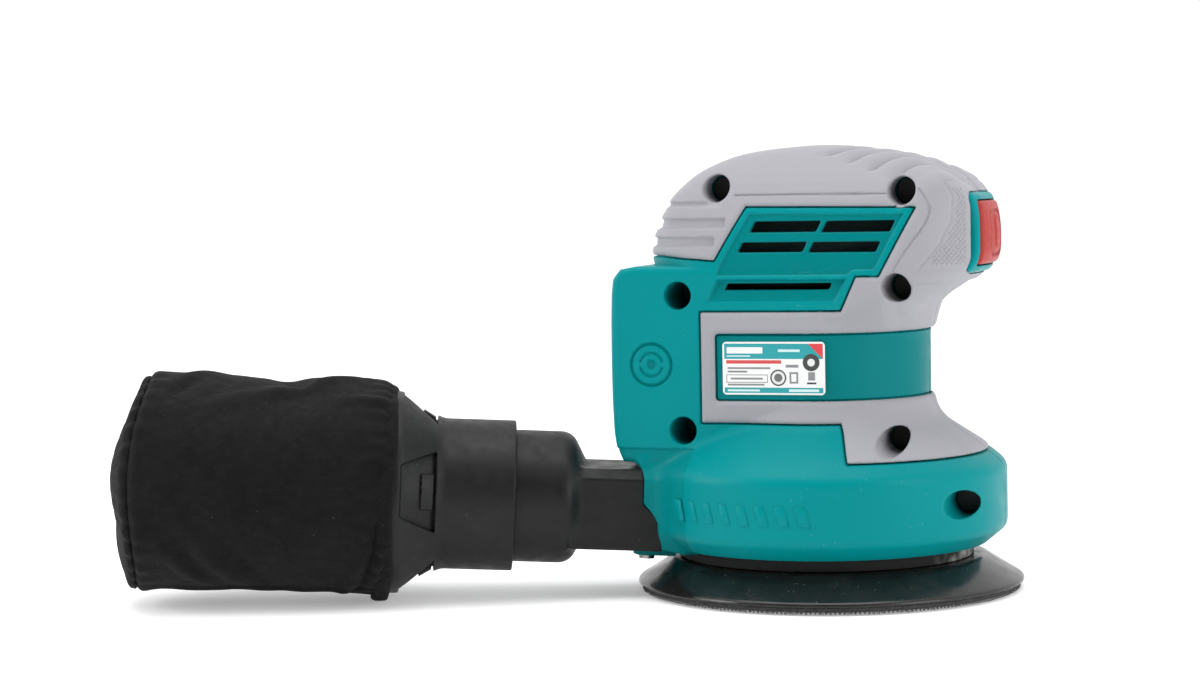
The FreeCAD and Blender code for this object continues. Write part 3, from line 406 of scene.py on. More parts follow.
# the battery dock: its pocket, the rails left standing in it, and the window for the terminals
DOCK_BACK = -54.0
DOCK_HALF_WIDTH = 28.0
DOCK_LOW = 52.0
RAIL_BACK = -59.0
RAIL_INSIDE = 24.0
RAIL_TOP = 98.0
WINDOW_BACK = -48.0
WINDOW_MIDDLE = 71.0
WINDOW_HALF_HEIGHT = 9.0
WINDOW_HALF_WIDTH = 17.0


def band_distance(x, z):
    """Signed distance to the recessed band round the waist."""
    return box_distance(x, z, (BAND_REAR, BAND_LOW), (120.0, BAND_TOP), 0.8)


def grip_distance(x, z):
    """Signed distance, in side view, to where the soft grip lies."""
    around = outline_distance(x, z, GRIP_OUTLINE)
    return soften_max(around, -band_distance(x, z), 0.8)


def slot_distance(x, z):
    """Signed distance to the nearest air slot."""
    nearest = FAR
    for left, right, low, high in SLOTS:
        lean = (z - low) * SLOT_SLANT
        nearest = np.minimum(nearest, box_distance(x - lean, z, (left, low), (right, high), 0.5))
    return nearest


def bore_distance(x, z, radius, screws=SCREWS):
    """Signed distance to the nearest screw bore or boss."""
    nearest = FAR
    for screw_x, screw_z in screws:
        nearest = np.minimum(nearest, np.sqrt((x - screw_x) ** 2 + (z - screw_z) ** 2))
    return nearest - radius


def bezel_opening(x, y, z, margin):
    """The opening for the switch surround, with a margin all round."""
    high = (BEZEL_HALF + margin, BEZEL_TOP + margin)
    opening = box_distance(np.abs(y), z, (-40.0, BEZEL_LOW - margin), high, 3.0)
    return np.maximum(opening, BEZEL_BACK - 0.3 - x)


def moved(matrix, x, y, z):
    """Coordinates carried over by a matrix."""
    return [row[0] * x + row[1] * y + row[2] * z + row[3] for row in matrix[:3]]


def port_corner(across, up):
    """The chamfer along the port's upper corners."""
    return half_plane(np.abs(across), up, (PORT_HALF_WIDTH, PORT_TOP - PORT_CHAMFER),
                      (PORT_HALF_WIDTH - PORT_CHAMFER, PORT_TOP))


def lug(s, across, up):
    """The casing's block that meets the port adapter, stepping out over its upper half."""
    face = ADAPTER_INNER_END - PORT_GAP
    slant = PORT_STEP_LOW - 0.85 * (PORT_STEP - face)
    inside, low, top = 44.0, PORT_LOW + 0.4, PORT_TOP + 1.2
    side = outline_distance(s, up, [(inside, low), (face, low), (face, slant), (PORT_STEP, PORT_STEP_LOW),
                                    (PORT_STEP, top), (inside, top)])
    return soften_max(soften_max(side, np.abs(across) - PORT_HALF_WIDTH, 0.5), port_corner(across, up), 0.5)


def port_tab(s, across, up):
    """The casing's tab under the adapter, with its screw's hole and its root in the skirt."""
    from_screw = np.sqrt((s - TAB_SCREW) ** 2 + across ** 2)
    plan = np.where(s > TAB_SCREW, from_screw, np.abs(across)) - TAB_HALF_WIDTH
    middle = (PORT_LOW - 0.05 + TAB_LOW) / 2
    tongue = soften_max(np.maximum(plan, 49.0 - s), np.abs(up - middle) - (middle - TAB_LOW), 0.4)
    tongue = np.maximum(tongue, TAB_SCREW_RADIUS - from_screw)
    root = np.maximum(np.abs(s - 51.4) - 2.9, np.abs(across) - TAB_HALF_WIDTH)
    root = soften_max(root, np.abs(up + 14.8) - 2.9, 0.4)
    return np.minimum(tongue, root)


def dock(x, y, z):
    """The battery dock's pocket with its two rails left standing, and its terminal window."""
    width = np.abs(y)
    pocket = np.maximum(np.maximum(x - DOCK_BACK, width - DOCK_HALF_WIDTH), DOCK_LOW - z)
    rail = np.maximum(np.maximum(x - RAIL_BACK, RAIL_INSIDE - width), z - RAIL_TOP)
    pocket = soften_max(pocket, -rail, 0.4)
    window = np.maximum(np.abs(z - WINDOW_MIDDLE) - WINDOW_HALF_HEIGHT, width - WINDOW_HALF_WIDTH)
    return np.minimum(pocket, np.maximum(window, x - WINDOW_BACK))


def surface_inset(x, z):
    """How far each side detail of the hard casing lies below its plain form."""
    inset = GRIP_THICKNESS * step(grip_distance(x, z), 0.3)
    inset = inset + BAND_RECESS * step(band_distance(x, z), 0.3)
    panel = outline_distance(x, z, VENT_PANEL)
    upper_field = soften_max(panel + 1.9, PANEL_RIDGE + 0.6 - z, 0.8)
    inset = inset + 0.7 * step(upper_field, 0.7)
    slope = 0.4 + 0.9 * np.clip((z - 94.0) / 7, 0, 1)
    inset = inset + slope * step(outline_distance(x, z, SLOT_FIELD), 0.8)
    rear, front, top = POD_PANEL
    inset = inset + 0.45 * step(z - top, 0.5) * step(x - front, 3.0) * step(rear - x, 1)
    ring = np.sqrt((x - EMBLEM[0]) ** 2 + (z - EMBLEM[1]) ** 2)
    inset = inset + 0.8 * step(np.abs(ring - 6.6) - 0.4, 0.5)
    arcs = step(np.abs(ring - 3.7) - 0.4, 0.5) * step(0.6 - np.abs(z - EMBLEM[1]), 0.5)
    return inset + 0.6 * np.minimum(step(ring - 1.6, 0.5) + arcs, 1)


def paint_recess_shade(piece):
    """Marks the casing's points in the band, the louvre panel and the pod's foot, where painted shade darkens
    the teal.
    """
    x, _, z = coordinates(piece.data).T / MM
    values = np.clip((surface_inset(x, z) - 0.3) / 0.25, 0, 1) * step(z - 128.0, 0.5)
    layer = piece.data.attributes.new(RECESS_SHADE_MARK, "FLOAT", "POINT")
    layer.data.foreach_set("value", values.astype(np.float32))


def painted_shade_box_field(side):
    """The closed dark box behind the air slots: painted shade that keeps light out of the handle, so the
    slots look dark.
    """

    def field(x, y, z):
        form = casing(x, y, z)
        panel = outline_distance(x, z, VENT_PANEL)
        outside = np.maximum(panel - 1.2, -(form + WALL + PAINTED_SHADE_BOX_DEPTH + 1.0))
        inside = np.maximum(panel, -(form + WALL + PAINTED_SHADE_BOX_DEPTH))
        box = np.maximum(np.maximum(outside, -inside), form + WALL - 0.05)
        return np.maximum(box, 12.0 - side * y)
    return field


def shell_field(side):
    """The hard casing on one side of the middle plane: -1 is the screw side."""

    def field(x, y, z):
        form = casing(x, y, z)
        outside = np.maximum(form + surface_inset(x, z), SKIRT_LOW - z)
        dock_wall = np.maximum(np.abs(y) - DOCK_HALF_WIDTH - 3.0, DOCK_LOW - 3.0 - z)
        hollow = np.maximum(form + WALL, -np.maximum(x - DOCK_BACK - WALL, dock_wall))
        solid = np.maximum(outside, -hollow)
        if side < 0:
            boss = np.maximum(bore_distance(x, z, SCREW_BOSS), outside + 0.4)
            solid = np.minimum(solid, np.maximum(boss, y + 0.2))
            local = moved(PORT.inverted(), x, y, z)
            solid = soften_min(solid, np.maximum(lug(*local), -hollow), 5.0)
            solid = soften_min(solid, port_tab(*local), 0.6)
            bore = soften_max(bore_distance(x, z, SCREW_BORE), y - SCREW_SEAT_Y, 0.2)
            sleeve = np.maximum(bore_distance(x, z, SLEEVE_RADIUS, GRIP_SCREWS), y - SLEEVE_END_Y)
            solid = soften_max(solid, -np.minimum(bore, sleeve), 0.6)
        slot = np.maximum(slot_distance(x, z), -(form + WALL + 2.0))
        solid = soften_max(solid, -slot, 0.6)
        solid = soften_max(solid, -dock(x, y, z), 0.5)
        solid = soften_max(solid, -bezel_opening(x, y, z, 0.05), 0.4)
        return soften_max(solid, -side * y + HALF_GAP, 0.5)
    return field


# ------------ the soft grips' form

WELT = smooth_path([(37.6, 128.4), (40.0, 124.6), (40.6, 121.4), (38.8, 117.0), (34.6, 111.0), (30.6, 104.6),
                    (29.6, 102.0)], 4)
KNURL = [(44.6, 131.0), (47.2, 126.0), (46.6, 118.5), (43.2, 111.0), (37.6, 103.8), (54.0, 103.2),
         (54.0, 126.8), (50.0, 130.6)]
STUD_PITCH = 1.7
STUDS_LOW = 103.6


def rib_inset(x, z):
    """Moulded ribs at the rear of the handle."""
    thin = step(box_distance(x, z, (-80, 124.1), (-25.6, 125.5), 0.5), 0.8)
    upper = step(box_distance(x, z, (-80, 117.2), (-23.4, 120.3), 0.6), 0.8)
    lower = step(box_distance(x, z, (-80, 111.6), (-26.6, 114.4), 0.6), 0.8)
    lobe = 0.35 * (1 - np.abs(np.sin((z - 111.6) / 5.9 * math.pi))) * step(x + 44, 6) * step(z - 127, 3)
    return 0.7 * thin + 1.0 * upper + 1.0 * lower + lobe * step(107 - z, 2)


def finger_inset(x, y, z):
    """Four rounded steps across the front of the crown."""
    place = (x + 0.95 * np.abs(y) - 21.5) / 10.6
    wave = 1 - np.abs(np.sin(place * math.pi)) ** 0.8
    along = np.clip(place, 0, 3.2)
    within = step(np.abs(y) - (16.5 + 3.1 * along), 3.0) * step(-place - 0.5, 0.9)
    return 1.7 * wave * within * step(place - 3.5, 0.9) * step(124 - z, 4)


def grip_inset(x, y, z):
    """Ribs, finger steps, welt, seam line, knurl border and lower ledge of the soft grip."""
    inset = rib_inset(x, z) + finger_inset(x, y, z)
    inset = inset + 0.55 * step(path_distance(x, z, WELT) - 0.45, 0.6)
    seam = path_distance(x, z, [(-21.0, 127.4), (29.0, 127.2)])
    inset = inset + 0.6 * step(seam - 0.28, 0.5) * step(20 - np.abs(y), 4)
    knurl_zone = outline_distance(x, z, KNURL)
    inset = inset + 0.25 * step(np.abs(knurl_zone) - 0.35, 0.7) * step(x - 49, 2)
    ledge = step(z - 99.2, 0.8) * step(28 - x, 4)
    return inset + 0.8 * ledge * step(88 - z, 10)


def grip_field(side):
    """The soft overmould on one side."""

    def field(x, y, z):
        form = casing(x, y, z)
        top = form - GRIP_PROUD + grip_inset(x, y, z)
        layer = soften_max(top, -(form + GRIP_THICKNESS), 0.2)
        solid = soften_max(layer, grip_distance(x, z) + 0.16, 2.2)
        if side < 0:
            sleeve = bore_distance(x, z, SLEEVE_RADIUS - 0.05, GRIP_SCREWS)
            sleeve = np.maximum(sleeve, y - SLEEVE_END_Y + 0.05)
            solid = np.minimum(solid, np.maximum(sleeve, form + 0.8))
            solid = soften_max(solid, -np.maximum(bore_distance(x, z, SCREW_BORE), y + 5), 0.9)
        solid = soften_max(solid, -bezel_opening(x, y, z, 0.15), 0.6)
        return soften_max(solid, -side * y + HALF_GAP, 0.7)
    return field


def knurl_studs():
    """Small four-sided studs standing on the grip each side of the switch."""
    spots = []
    for row in range(30):
        for column in range(-30, 30):
            arc = (column + 0.5 * (row % 2)) * STUD_PITCH
            spots.append((arc / HANDLE_HALF_WIDTH, STUDS_LOW + row * STUD_PITCH / 2))
    angle, z = np.array(spots).T
    reach = np.full_like(z, HANDLE_HALF_WIDTH)
    for _ in range(8):
        x, y = NOSE_CENTRE + reach * np.cos(angle), reach * np.sin(angle)
        reach = reach - (handle(x, y, z) - 0.35)
    x, y = NOSE_CENTRE + reach * np.cos(angle), reach * np.sin(angle)
    beside = np.maximum(np.abs(y) - BEZEL_HALF - 2.0, z - BEZEL_TOP - 2.0)
    kept = (outline_distance(x, z, KNURL) < -1.3) & (beside > 0) & (np.abs(y) > 8) & (x > NOSE_CENTRE)
    place = np.stack([x, y, z], 1)[kept]
    normal = gradient(handle, place)[1]
    normal = normal / np.linalg.norm(normal, axis=1)[:, None]
    across = np.cross([0, 0, 1], normal)
    across = across / np.linalg.norm(across, axis=1)[:, None]
    up = np.cross(normal, across)
    levels = []
    for height, half in ((-0.3, 0.76), (0.05, 0.76), (0.32, 0.3)):
        for a, b in ((1, 0), (0, 1), (-1, 0), (0, -1)):
            levels.append(place + normal * height + (across * a + up * b) * half)
    return raised_marks("grip_knurl_studs", np.stack(levels, 1))


def skirt_bars():
    """A plain row of slanted bars moulded on the skirt's screw side."""
    count, first, pitch = 8, -128.0, 6.3
    low, high, half_width, slant = 26.4, 32.8, 1.6, 0.28
    levels = []
    angle = np.radians(first + pitch * np.arange(count))
    for radius, inset in ((-0.4, 0.0), (0.12, 0.0), (0.38, 0.3)):
        for side, z in ((-1, low + inset), (1, low + inset), (1, high - inset), (-1, high - inset)):
            turned = angle + (side * (half_width - inset) - (z - (low + high) / 2) * slant) / SKIRT_RADIUS
            reach = SKIRT_RADIUS + radius
            levels.append(np.stack([reach * np.cos(turned), reach * np.sin(turned), np.full(count, z)], 1))
    return raised_marks("skirt_bars", np.stack(levels, 1))


def raised_marks(name, corners):
    """Small closed four-sided marks, each given by three levels of four corners."""
    cell = [(0, 3, 2, 1), (8, 9, 10, 11)]
    cell += [(level + a, level + (a + 1) % 4, level + 4 + (a + 1) % 4, level + 4 + a)
             for level in (0, 4) for a in range(4)]
    faces = (np.array(cell)[None] + 12 * np.arange(len(corners))[:, None, None]).reshape(-1, 4)
    return mesh_object(name, corners.reshape(-1, 3) * MM, [faces])


# ------------ switch surround and button

def bezel_field(x, y, z):
    """The waisted frame round the switch button."""
    proud = handle(x, y, z) - 0.9
    waist = 1.5 * np.cos((z - (BEZEL_LOW + BEZEL_TOP) / 2) / (BEZEL_TOP - BEZEL_LOW) * math.pi)
    rim = box_distance(np.abs(y) + waist, z, (-40.0, BEZEL_LOW), (BEZEL_HALF, BEZEL_TOP), 2.0)
    window = box_distance(np.abs(y), z, (-40.0, BUTTON_LOW - 0.3), (BUTTON_HALF + 0.3, BUTTON_TOP + 0.3), 1.5)
    solid = soften_max(proud, rim, 1.4)
    solid = soften_max(solid, BEZEL_BACK - x, 0.3)
    return soften_max(solid, -window, 0.7)


def button_field(x, y, z):
    """The switch button, with a ring groove round a raised bar."""
    middle = (BUTTON_LOW + BUTTON_TOP) / 2
    proud = handle(x, y, z) - 1.3
    rim = box_distance(np.abs(y), z, (-40.0, BUTTON_LOW), (BUTTON_HALF, BUTTON_TOP), 1.6)
    ring = box_distance(y, z, (-8.2, BUTTON_LOW + 3.0), (8.2, BUTTON_TOP - 3.0), 3.4)
    proud = proud + 0.7 * step(np.abs(ring) - 0.45, 0.7) + 0.35 * step(ring, 0.8)
    core = box_distance(y, z, (-3.4, middle - 5.4), (3.4, middle + 5.4), 3.0)
    proud = proud - 0.5 * step(core, 0.9)
    solid = soften_max(proud, rim, 1.2)
    return soften_max(solid, BUTTON_BACK - x, 0.3)


# ------------ dust port adapter and collar

def adapter_field(s, across, up):
    """Flat duct box, sloping shoulder and round tube, hollow from end to end."""
    r = np.sqrt(across ** 2 + up ** 2)
    width = np.abs(across)
    box = soften_max(width - PORT_HALF_WIDTH, np.maximum(up - PORT_TOP, PORT_LOW - up), 0.8)
    box = soften_max(soften_max(box, port_corner(across, up), 0.5), s - BOX_END, 0.5)
    shoulder = half_plane(s, r, (83.2, TUBE_RADIUS), (76.8, 9.0))
    tube = soften_max(soften_max(r - TUBE_RADIUS, shoulder, 3.4), s - TUBE_END, 0.6)
    solid = soften_min(box, tube, 2.2)
    skirt_gap = skirt(*moved(PORT, s, across, up)) - PORT_GAP
    face, slant, inside = PORT_STEP + PORT_GAP, PORT_STEP_LOW - PORT_GAP, PORT_STEP + PORT_GAP - 30.0
    step_gap = outline_distance(s, up, [(inside, slant - 25.5), (face, slant), (face, 40.0), (inside, 40.0)])
    solid = soften_max(solid, -np.minimum(skirt_gap, step_gap), 0.3)
    solid = soften_max(solid, ADAPTER_INNER_END - s, 0.3)
    flat_duct = np.maximum(width - 13.0, np.abs(up + 2.5) - 9.5)
    duct = np.minimum(flat_duct, np.maximum(r - TUBE_BORE, 89.0 - s))
    return soften_max(solid, -duct, 0.5)


def collar_field(s, across, up):
    """Push-on collar, then a flared neck with four moulded pockets for the bag's clips."""
    r = np.sqrt(across ** 2 + up ** 2)
    sleeve = soften_max(r - COLLAR_RADIUS, s - COLLAR_END - 1.0, 0.6)
    sleeve = soften_max(sleeve, COLLAR_START - s, 0.7)
    flare = half_plane(s, r, (BAG_MOUTH - 1.5, BAG_MOUTH_RADIUS + 1.2),
                       (COLLAR_END - 1.5, COLLAR_RADIUS - 0.4))
    flare = soften_max(flare, r - BAG_MOUTH_RADIUS - 0.2, 0.8)
    flare = np.maximum(flare, COLLAR_END - 3.0 - s)
    solid = soften_min(sleeve, flare, 1.2)
    solid = soften_max(solid, s - BAG_MOUTH - 1.5, 0.4)
    angle = np.arctan2(up, across)
    sector = np.abs(np.mod(angle - POCKET_TURN + math.pi / 4, math.pi / 2) - math.pi / 4) * r
    pocket_width = 13.5 - (s - COLLAR_END) * 0.45
    pocket = np.maximum(sector - pocket_width, np.maximum(s - BAG_MOUTH + 3.4, COLLAR_END - s + 0.8))
    floor = half_plane(s, r, (BAG_MOUTH, BAG_MOUTH_RADIUS - 0.6), (COLLAR_END - 1.5, COLLAR_RADIUS - 2.3))
    solid = soften_max(solid, -np.maximum(pocket, -floor), 0.7)
    catch = np.maximum(sector - 5.6, np.maximum(np.abs(s - COLLAR_END - 3.4) - 2.0, floor - 0.9))
    solid = soften_min(solid, np.maximum(catch, -floor - 1.0), 0.4)
    bore = r - np.where(s < 113.0, TUBE_RADIUS + 0.1, 20.0)
    inner_flare = half_plane(s, r, (BAG_MOUTH, BAG_MOUTH_RADIUS - 4.4), (COLLAR_END, 18.2))
    inner_flare = np.maximum(np.maximum(inner_flare, r - BAG_MOUTH_RADIUS + 3.4), COLLAR_END - s)
    return soften_max(solid, -np.minimum(bore, inner_flare), 0.4)


# ------------ sanding pad

def pad_field(x, y, z):
    """Rubber backing pad with dust holes and a dished top."""
    r = np.sqrt((x - PAD_X) ** 2 + y * y)
    cone = half_plane(r, z, (PAD_RADIUS - 0.2, HOOK_TOP + 1.2), (50.5, PAD_TOP))
    lip = soften_max(r - PAD_RADIUS, cone, 0.9)
    solid = soften_max(lip, np.maximum(z - PAD_TOP, HOOK_TOP - z), 0.7)
    centre = np.where(z < 8.2, r - PAD_CENTRE_RADIUS, r - 2.6)
    return soften_max(solid, -np.minimum(hole_distance(x, y), centre), 0.5)


def hole_angle(x, y):
    """Angle from the nearest of the dust holes."""
    return np.mod(np.arctan2(y, x - PAD_X) + HOLE_STEP / 2, HOLE_STEP) - HOLE_STEP / 2


def hole_distance(x, y):
    """Signed distance to the nearest dust hole."""
    r = np.sqrt((x - PAD_X) ** 2 + y * y)
    return np.sqrt(r * r + HOLE_CIRCLE ** 2 - 2 * HOLE_CIRCLE * r * np.cos(hole_angle(x, y))) - HOLE_RADIUS


HOOK_PITCH = 1.5
RIM_HOOKS = 900
RIM_RADIUS = 60.5


def hook_pile():
    """The hook face: a thin disc with its holes, carrying rows of tiny mushroom hooks."""
    generator = np.random.default_rng(7)
    low, high = (PAD_X - 63, -63, -0.5), (PAD_X + 63, 63, HOOK_TOP + 0.8)
    base = sculpt("hook_disc", hook_disc_field, low, high, 0.45, 60000)
    spots = []
    for ring in range(34):
        radius = 10.2 + ring * HOOK_PITCH
        count = int(2 * math.pi * radius / HOOK_PITCH)
        for number in range(count):
            angle = 2 * math.pi * (number + 0.5 * (ring % 2)) / count
            spots.append((PAD_X + radius * math.cos(angle), radius * math.sin(angle), 0.75, False))
    for number in range(RIM_HOOKS):
        angle = 2 * math.pi * number / RIM_HOOKS + generator.normal(0, 0.002)
        height = 0.5 + (number % 3) * 0.7 + generator.normal(0, 0.08)
        spots.append((PAD_X + RIM_RADIUS * math.cos(angle), RIM_RADIUS * math.sin(angle), height, True))
    points, faces = [], []
    for x, y, height, sideways in spots:
        beside_hole = (abs(math.hypot(x - PAD_X, y) - HOLE_CIRCLE) >= HOLE_RADIUS + 1.0
                       or abs(hole_angle(x, y)) * HOLE_CIRCLE >= HOLE_RADIUS + 1.0)
        if sideways or beside_hole:
            add_hook(points, faces, x, y, height, sideways, generator)
    hooks = mesh_object("hook_face_pile", np.array(points) * MM, [np.array(faces)])
    join([hooks, base])
    return hooks


def hook_disc_field(x, y, z):
    """The thin disc that the hooks stand on."""
    r = np.sqrt((x - PAD_X) ** 2 + y * y)
    solid = soften_max(r - 60.8, np.maximum(z - HOOK_TOP, 0.7 - z), 0.3)
    return np.maximum(solid, -np.minimum(hole_distance(x, y), r - PAD_CENTRE_RADIUS))


def add_hook(points, faces, x, y, height, sideways, generator):
    """One four-sided hook: a stem with a wider head, pointing down, or outward at the rim."""
    outward = Vector((x - PAD_X, y, 0)).normalized() if sideways else Vector((0, 0, -1))
    side = outward.orthogonal().normalized()
    other = outward.cross(side)
    root = Vector((x, y, height))
    length = 0.75 + generator.uniform(-0.12, 0.0)
    first = len(points)
    for distance, radius in ((0.0, 0.16), (length * 0.7, 0.14), (length * 0.72, 0.3), (length, 0.12)):
        for turn in range(4):
            angle = turn * math.pi / 2
            point = root + outward * distance + (side * math.cos(angle) + other * math.sin(angle)) * radius
            points.append(tuple(point))
    for level in range(first, first + 12, 4):
        for turn in range(4):
            a, b = level + turn, level + (turn + 1) % 4
            faces.append((a, b, b + 4, a + 4))
    faces.append((first + 3, first + 2, first + 1, first))
    faces.append((first + 12, first + 13, first + 14, first + 15))


def join(pieces):
    """All the pieces as one, kept by the first."""
    with bpy.context.temp_override(active_object=pieces[0], selected_editable_objects=pieces):
        bpy.ops.object.join()


# ------------ dust bag

BAG_SEAM = 221.5
BAG_RINGS = 150
BAG_END_RINGS = 34
BAG_TURNS = 300
MM_PER_DEGREE = 0.6      # round the bag
BAG_FLOOR = 0.55         # the lowest that the cloth may lie
TAPE_SIDES = 14
TAPE_TURNS = 360


def ridge(s, angle, start, end, width, height):
    """A fold of cloth from start to end, each given as a distance along the bag and degrees round it."""
    along_u, along_v = end[0] - start[0], (end[1] - start[1]) * MM_PER_DEGREE
    u = s - start[0]
    v = ((angle - start[1] + 180) % 360 - 180) * MM_PER_DEGREE
    share = np.clip((u * along_u + v * along_v) / (along_u ** 2 + along_v ** 2), 0, 1)
    gap = np.sqrt((u - share * along_u) ** 2 + (v - share * along_v) ** 2)
    fade = np.sin(np.clip(share, 0.04, 0.96) * math.pi) ** 0.5
    return height * fade * np.exp(-(gap / width) ** 2)


# Folds of the bag: where each starts and ends (mm along, degrees round), its width and its height.
# 0 degrees faces the screw side and 90 is the top.
BAG_FOLDS = [
    ((150, 88), (178, 66), 3.2, 1.5), ((166, 74), (199, 52), 3.6, 1.3),
    ((176, 96), (168, 60), 5.0, -2.2), ((196, 100), (212, 70), 4.0, 1.2),
    ((212, 58), (205, 78), 2.6, -1.2), ((204, -12), (217, 6), 2.8, 1.0),
    ((186, -58), (204, -16), 3.4, 1.7), ((196, -60), (213, -26), 3.0, 1.5),
    ((181, -52), (192, -22), 3.2, -1.5), ((140, -8), (146, -56), 1.8, 1.7),
    ((143, -4), (150, -60), 1.9, -1.7), ((146, -20), (156, -70), 2.4, 1.4),
    ((140, 28), (152, 20), 2.0, 1.0), ((140, 17), (150, 8), 1.8, -0.8),
    ((140, 62), (158, 58), 2.4, 1.1), ((141, 104), (160, 112), 2.6, 1.2),
    ((150, -64), (216, -70), 1.7, 1.2), ((152, -72), (216, -76), 2.0, -1.2),
    ((140, 150), (170, 165), 3.6, 1.4), ((160, 200), (208, 180), 4.0, 1.6),
    ((150, 235), (196, 215), 4.0, -1.6), ((172, 130), (214, 150), 4.0, 1.3),
    ((186, 232), (216, 250), 3.4, 1.4), ((142, 190), (160, 205), 2.6, -1.2),
    ((200, 20), (219, 36), 3.0, 0.8), ((160, 10), (190, -6), 8.0, -1.0),
    ((150, 40), (205, 28), 9.0, 0.8)]


def bag_surface(s, angle):
    """Radius of the cloth at a distance along the bag and an angle round it."""
    t = np.clip((s - BAG_MOUTH) / (BAG_SEAM - BAG_MOUTH), 0, 1)
    fullness = np.clip(t / 0.16, 0, 1) ** 0.6
    radius = BAG_MOUTH_RADIUS + 0.4 + (BAG_RADIUS - BAG_MOUTH_RADIUS - 0.2) * fullness
    round_way = np.radians(angle)
    above = np.maximum(np.sin(round_way), 0)
    radius = radius + 1.3 * above - 1.4 * above ** 4 * np.exp(-((t - 0.5) / 0.16) ** 2)
    below = np.maximum(-np.sin(round_way), 0)
    radius = radius - 2.4 * below ** 2 * np.sin(math.pi * t) ** 0.5
    for fold in BAG_FOLDS:
        radius = radius + ridge(s, angle, *fold)
    slack = np.sin(math.pi * t) ** 0.6
    crumple = (np.sin(3 * round_way + s * 0.11 + 1.3) * np.sin(s * 0.093 - 2 * round_way)
               + 0.6 * np.sin(5 * round_way - s * 0.17) * np.sin(s * 0.14 + 0.7)
               + 0.35 * np.sin(9 * round_way + s * 0.23 + 0.4) * np.sin(0.31 * s + 2 * round_way))
    return radius + 0.42 * slack * crumple


def bag_points():
    """Rings of points from the mouth, over the end seam, to the middle of the end panel."""
    angles = np.linspace(0, 360, BAG_TURNS, endpoint=False)
    a = np.radians(angles)
    rings = []
    for number in range(BAG_RINGS):
        s = BAG_MOUTH + (BAG_SEAM - BAG_MOUTH) * number / (BAG_RINGS - 1)
        seam_pull = 2.0 * math.exp(-((s - BAG_SEAM + 0.6) / 1.2) ** 2)
        hem_pull = 1.0 * math.exp(-((s - BAG_MOUTH - 0.5) / 1.6) ** 2)
        gather = 0.4 * np.sin(a * 38) * np.exp(-((s - BAG_MOUTH) / 7) ** 2)
        gather = gather + 0.35 * np.sin(a * 31 + 1) * np.exp(-((s - BAG_SEAM) / 6) ** 2)
        radius = bag_surface(np.full_like(angles, s), angles) - seam_pull - hem_pull + gather
        top = np.maximum(np.sin(a), 0)
        lean = (0.9 * np.sin(3 * a + 1) - 1.8 * top ** 4) * (number / BAG_RINGS) ** 2
        rings.append((s + lean, radius))
    end_s, end_radius = rings[-1]
    for number in range(1, BAG_END_RINGS):
        share = number / BAG_END_RINGS
        bulge = 6.4 * (1 - (1 - share) ** 2.2) + 1.1 * np.sin(a * 3 + 0.8) * share * (1 - share) * 3
        pucker = 0.5 * np.sin(a * 31 + 1) * (1 - share) ** 6
        radius = (end_radius + 0.9 * math.sin(math.pi * min(share * 5, 1))) * (1 - share) ** 0.62
        rings.append((end_s * (1 - share) + np.mean(end_s) * share + bulge + pucker, radius))
    return np.array([np.stack([s, radius * np.cos(a), radius * np.sin(a)], 1) for s, radius in rings])


def dust_bag():
    """The cloth bag: one skin with a turned-in hem, thickened inward."""
    rings = bag_points()
    hem = rings[0] * [1, 0.985, 0.985] + [3.0, 0, 0]
    rings = np.concatenate([[hem], rings])
    points = placed(rings.reshape(-1, 3), PORT)
    height = points[:, 2]
    settled = BAG_FLOOR + 1.5 * np.exp(np.minimum(height - BAG_FLOOR - 1.5, 0) / 1.5)
    points[:, 2] = np.where(height < BAG_FLOOR + 1.5, settled, height)
    index = np.arange(len(points)).reshape(-1, BAG_TURNS)
    after = np.roll(index, -1, 1)
    quads = np.stack([index[:-1], index[1:], after[1:], after[:-1]], -1).reshape(-1, 4)
    centre = points[index[-1]].mean(0, keepdims=True) + np.array(PORT.to_3x3()) @ [0.15, 0, 0]
    cap = np.stack([index[-1], np.full(BAG_TURNS, len(points)), after[-1]], -1)
    piece = mesh_object("dust_bag_cloth", np.concatenate([points, centre]) * MM, [quads, cap])
    thick = piece.modifiers.new("cloth", "SOLIDIFY")
    thick.thickness = 0.9 * MM
    thick.offset = -1
    apply_modifiers(piece)
    smooth(piece)
    return piece


def bag_binding():
    """The folded tape that binds the bag's mouth to the collar, with its stitches pulled in."""
    a = np.linspace(0, 2 * math.pi, TAPE_TURNS, endpoint=False)
    stitch = 0.22 * np.abs(np.sin(a * 55)) + 0.25 * np.sin(a * 7 + 1) + 0.2 * np.sin(a * 13)
    bunched = 1.6 * np.maximum(-np.sin(a), 0) ** 3
    points = []
    for number in range(TAPE_SIDES):
        side = 2 * math.pi * number / TAPE_SIDES
        ds, dr = 2.6 * math.cos(side), 1.25 * math.sin(side)
        radius = BAG_MOUTH_RADIUS + 0.5 + bunched + dr * (1 + 0.15 * np.sin(a * 9)) + stitch * (dr > 0)
        s = BAG_MOUTH + 1.0 + ds + 0.5 * np.sin(a * 4 + 2) + bunched
        points.append(np.stack([s, radius * np.cos(a), radius * np.sin(a)], 1))
    index = np.arange(TAPE_SIDES * TAPE_TURNS).reshape(TAPE_SIDES, TAPE_TURNS)
    after = np.roll(index, -1, 1)
    quads = np.stack([index, after, np.roll(after, -1, 0), np.roll(index, -1, 0)], -1).reshape(-1, 4)
    points = placed(np.concatenate(points), PORT)
    points[:, 2] = np.maximum(points[:, 2], 0.4)
    piece = mesh_object("bag_mouth_tape", points * MM, [quads])
    smooth(piece)
    return piece


# ------------ rating label

def label_field(x, y, z):
    """The thin plate with rounded corners."""
    face = box_distance(x, z, (LABEL_REAR, LABEL_LOW), (LABEL_FRONT, LABEL_TOP), 1.3)
    return soften_max(face, np.abs(y - (LABEL_FACE + LABEL_BACK) / 2) - 0.17, 0.1)


# ------------ materials

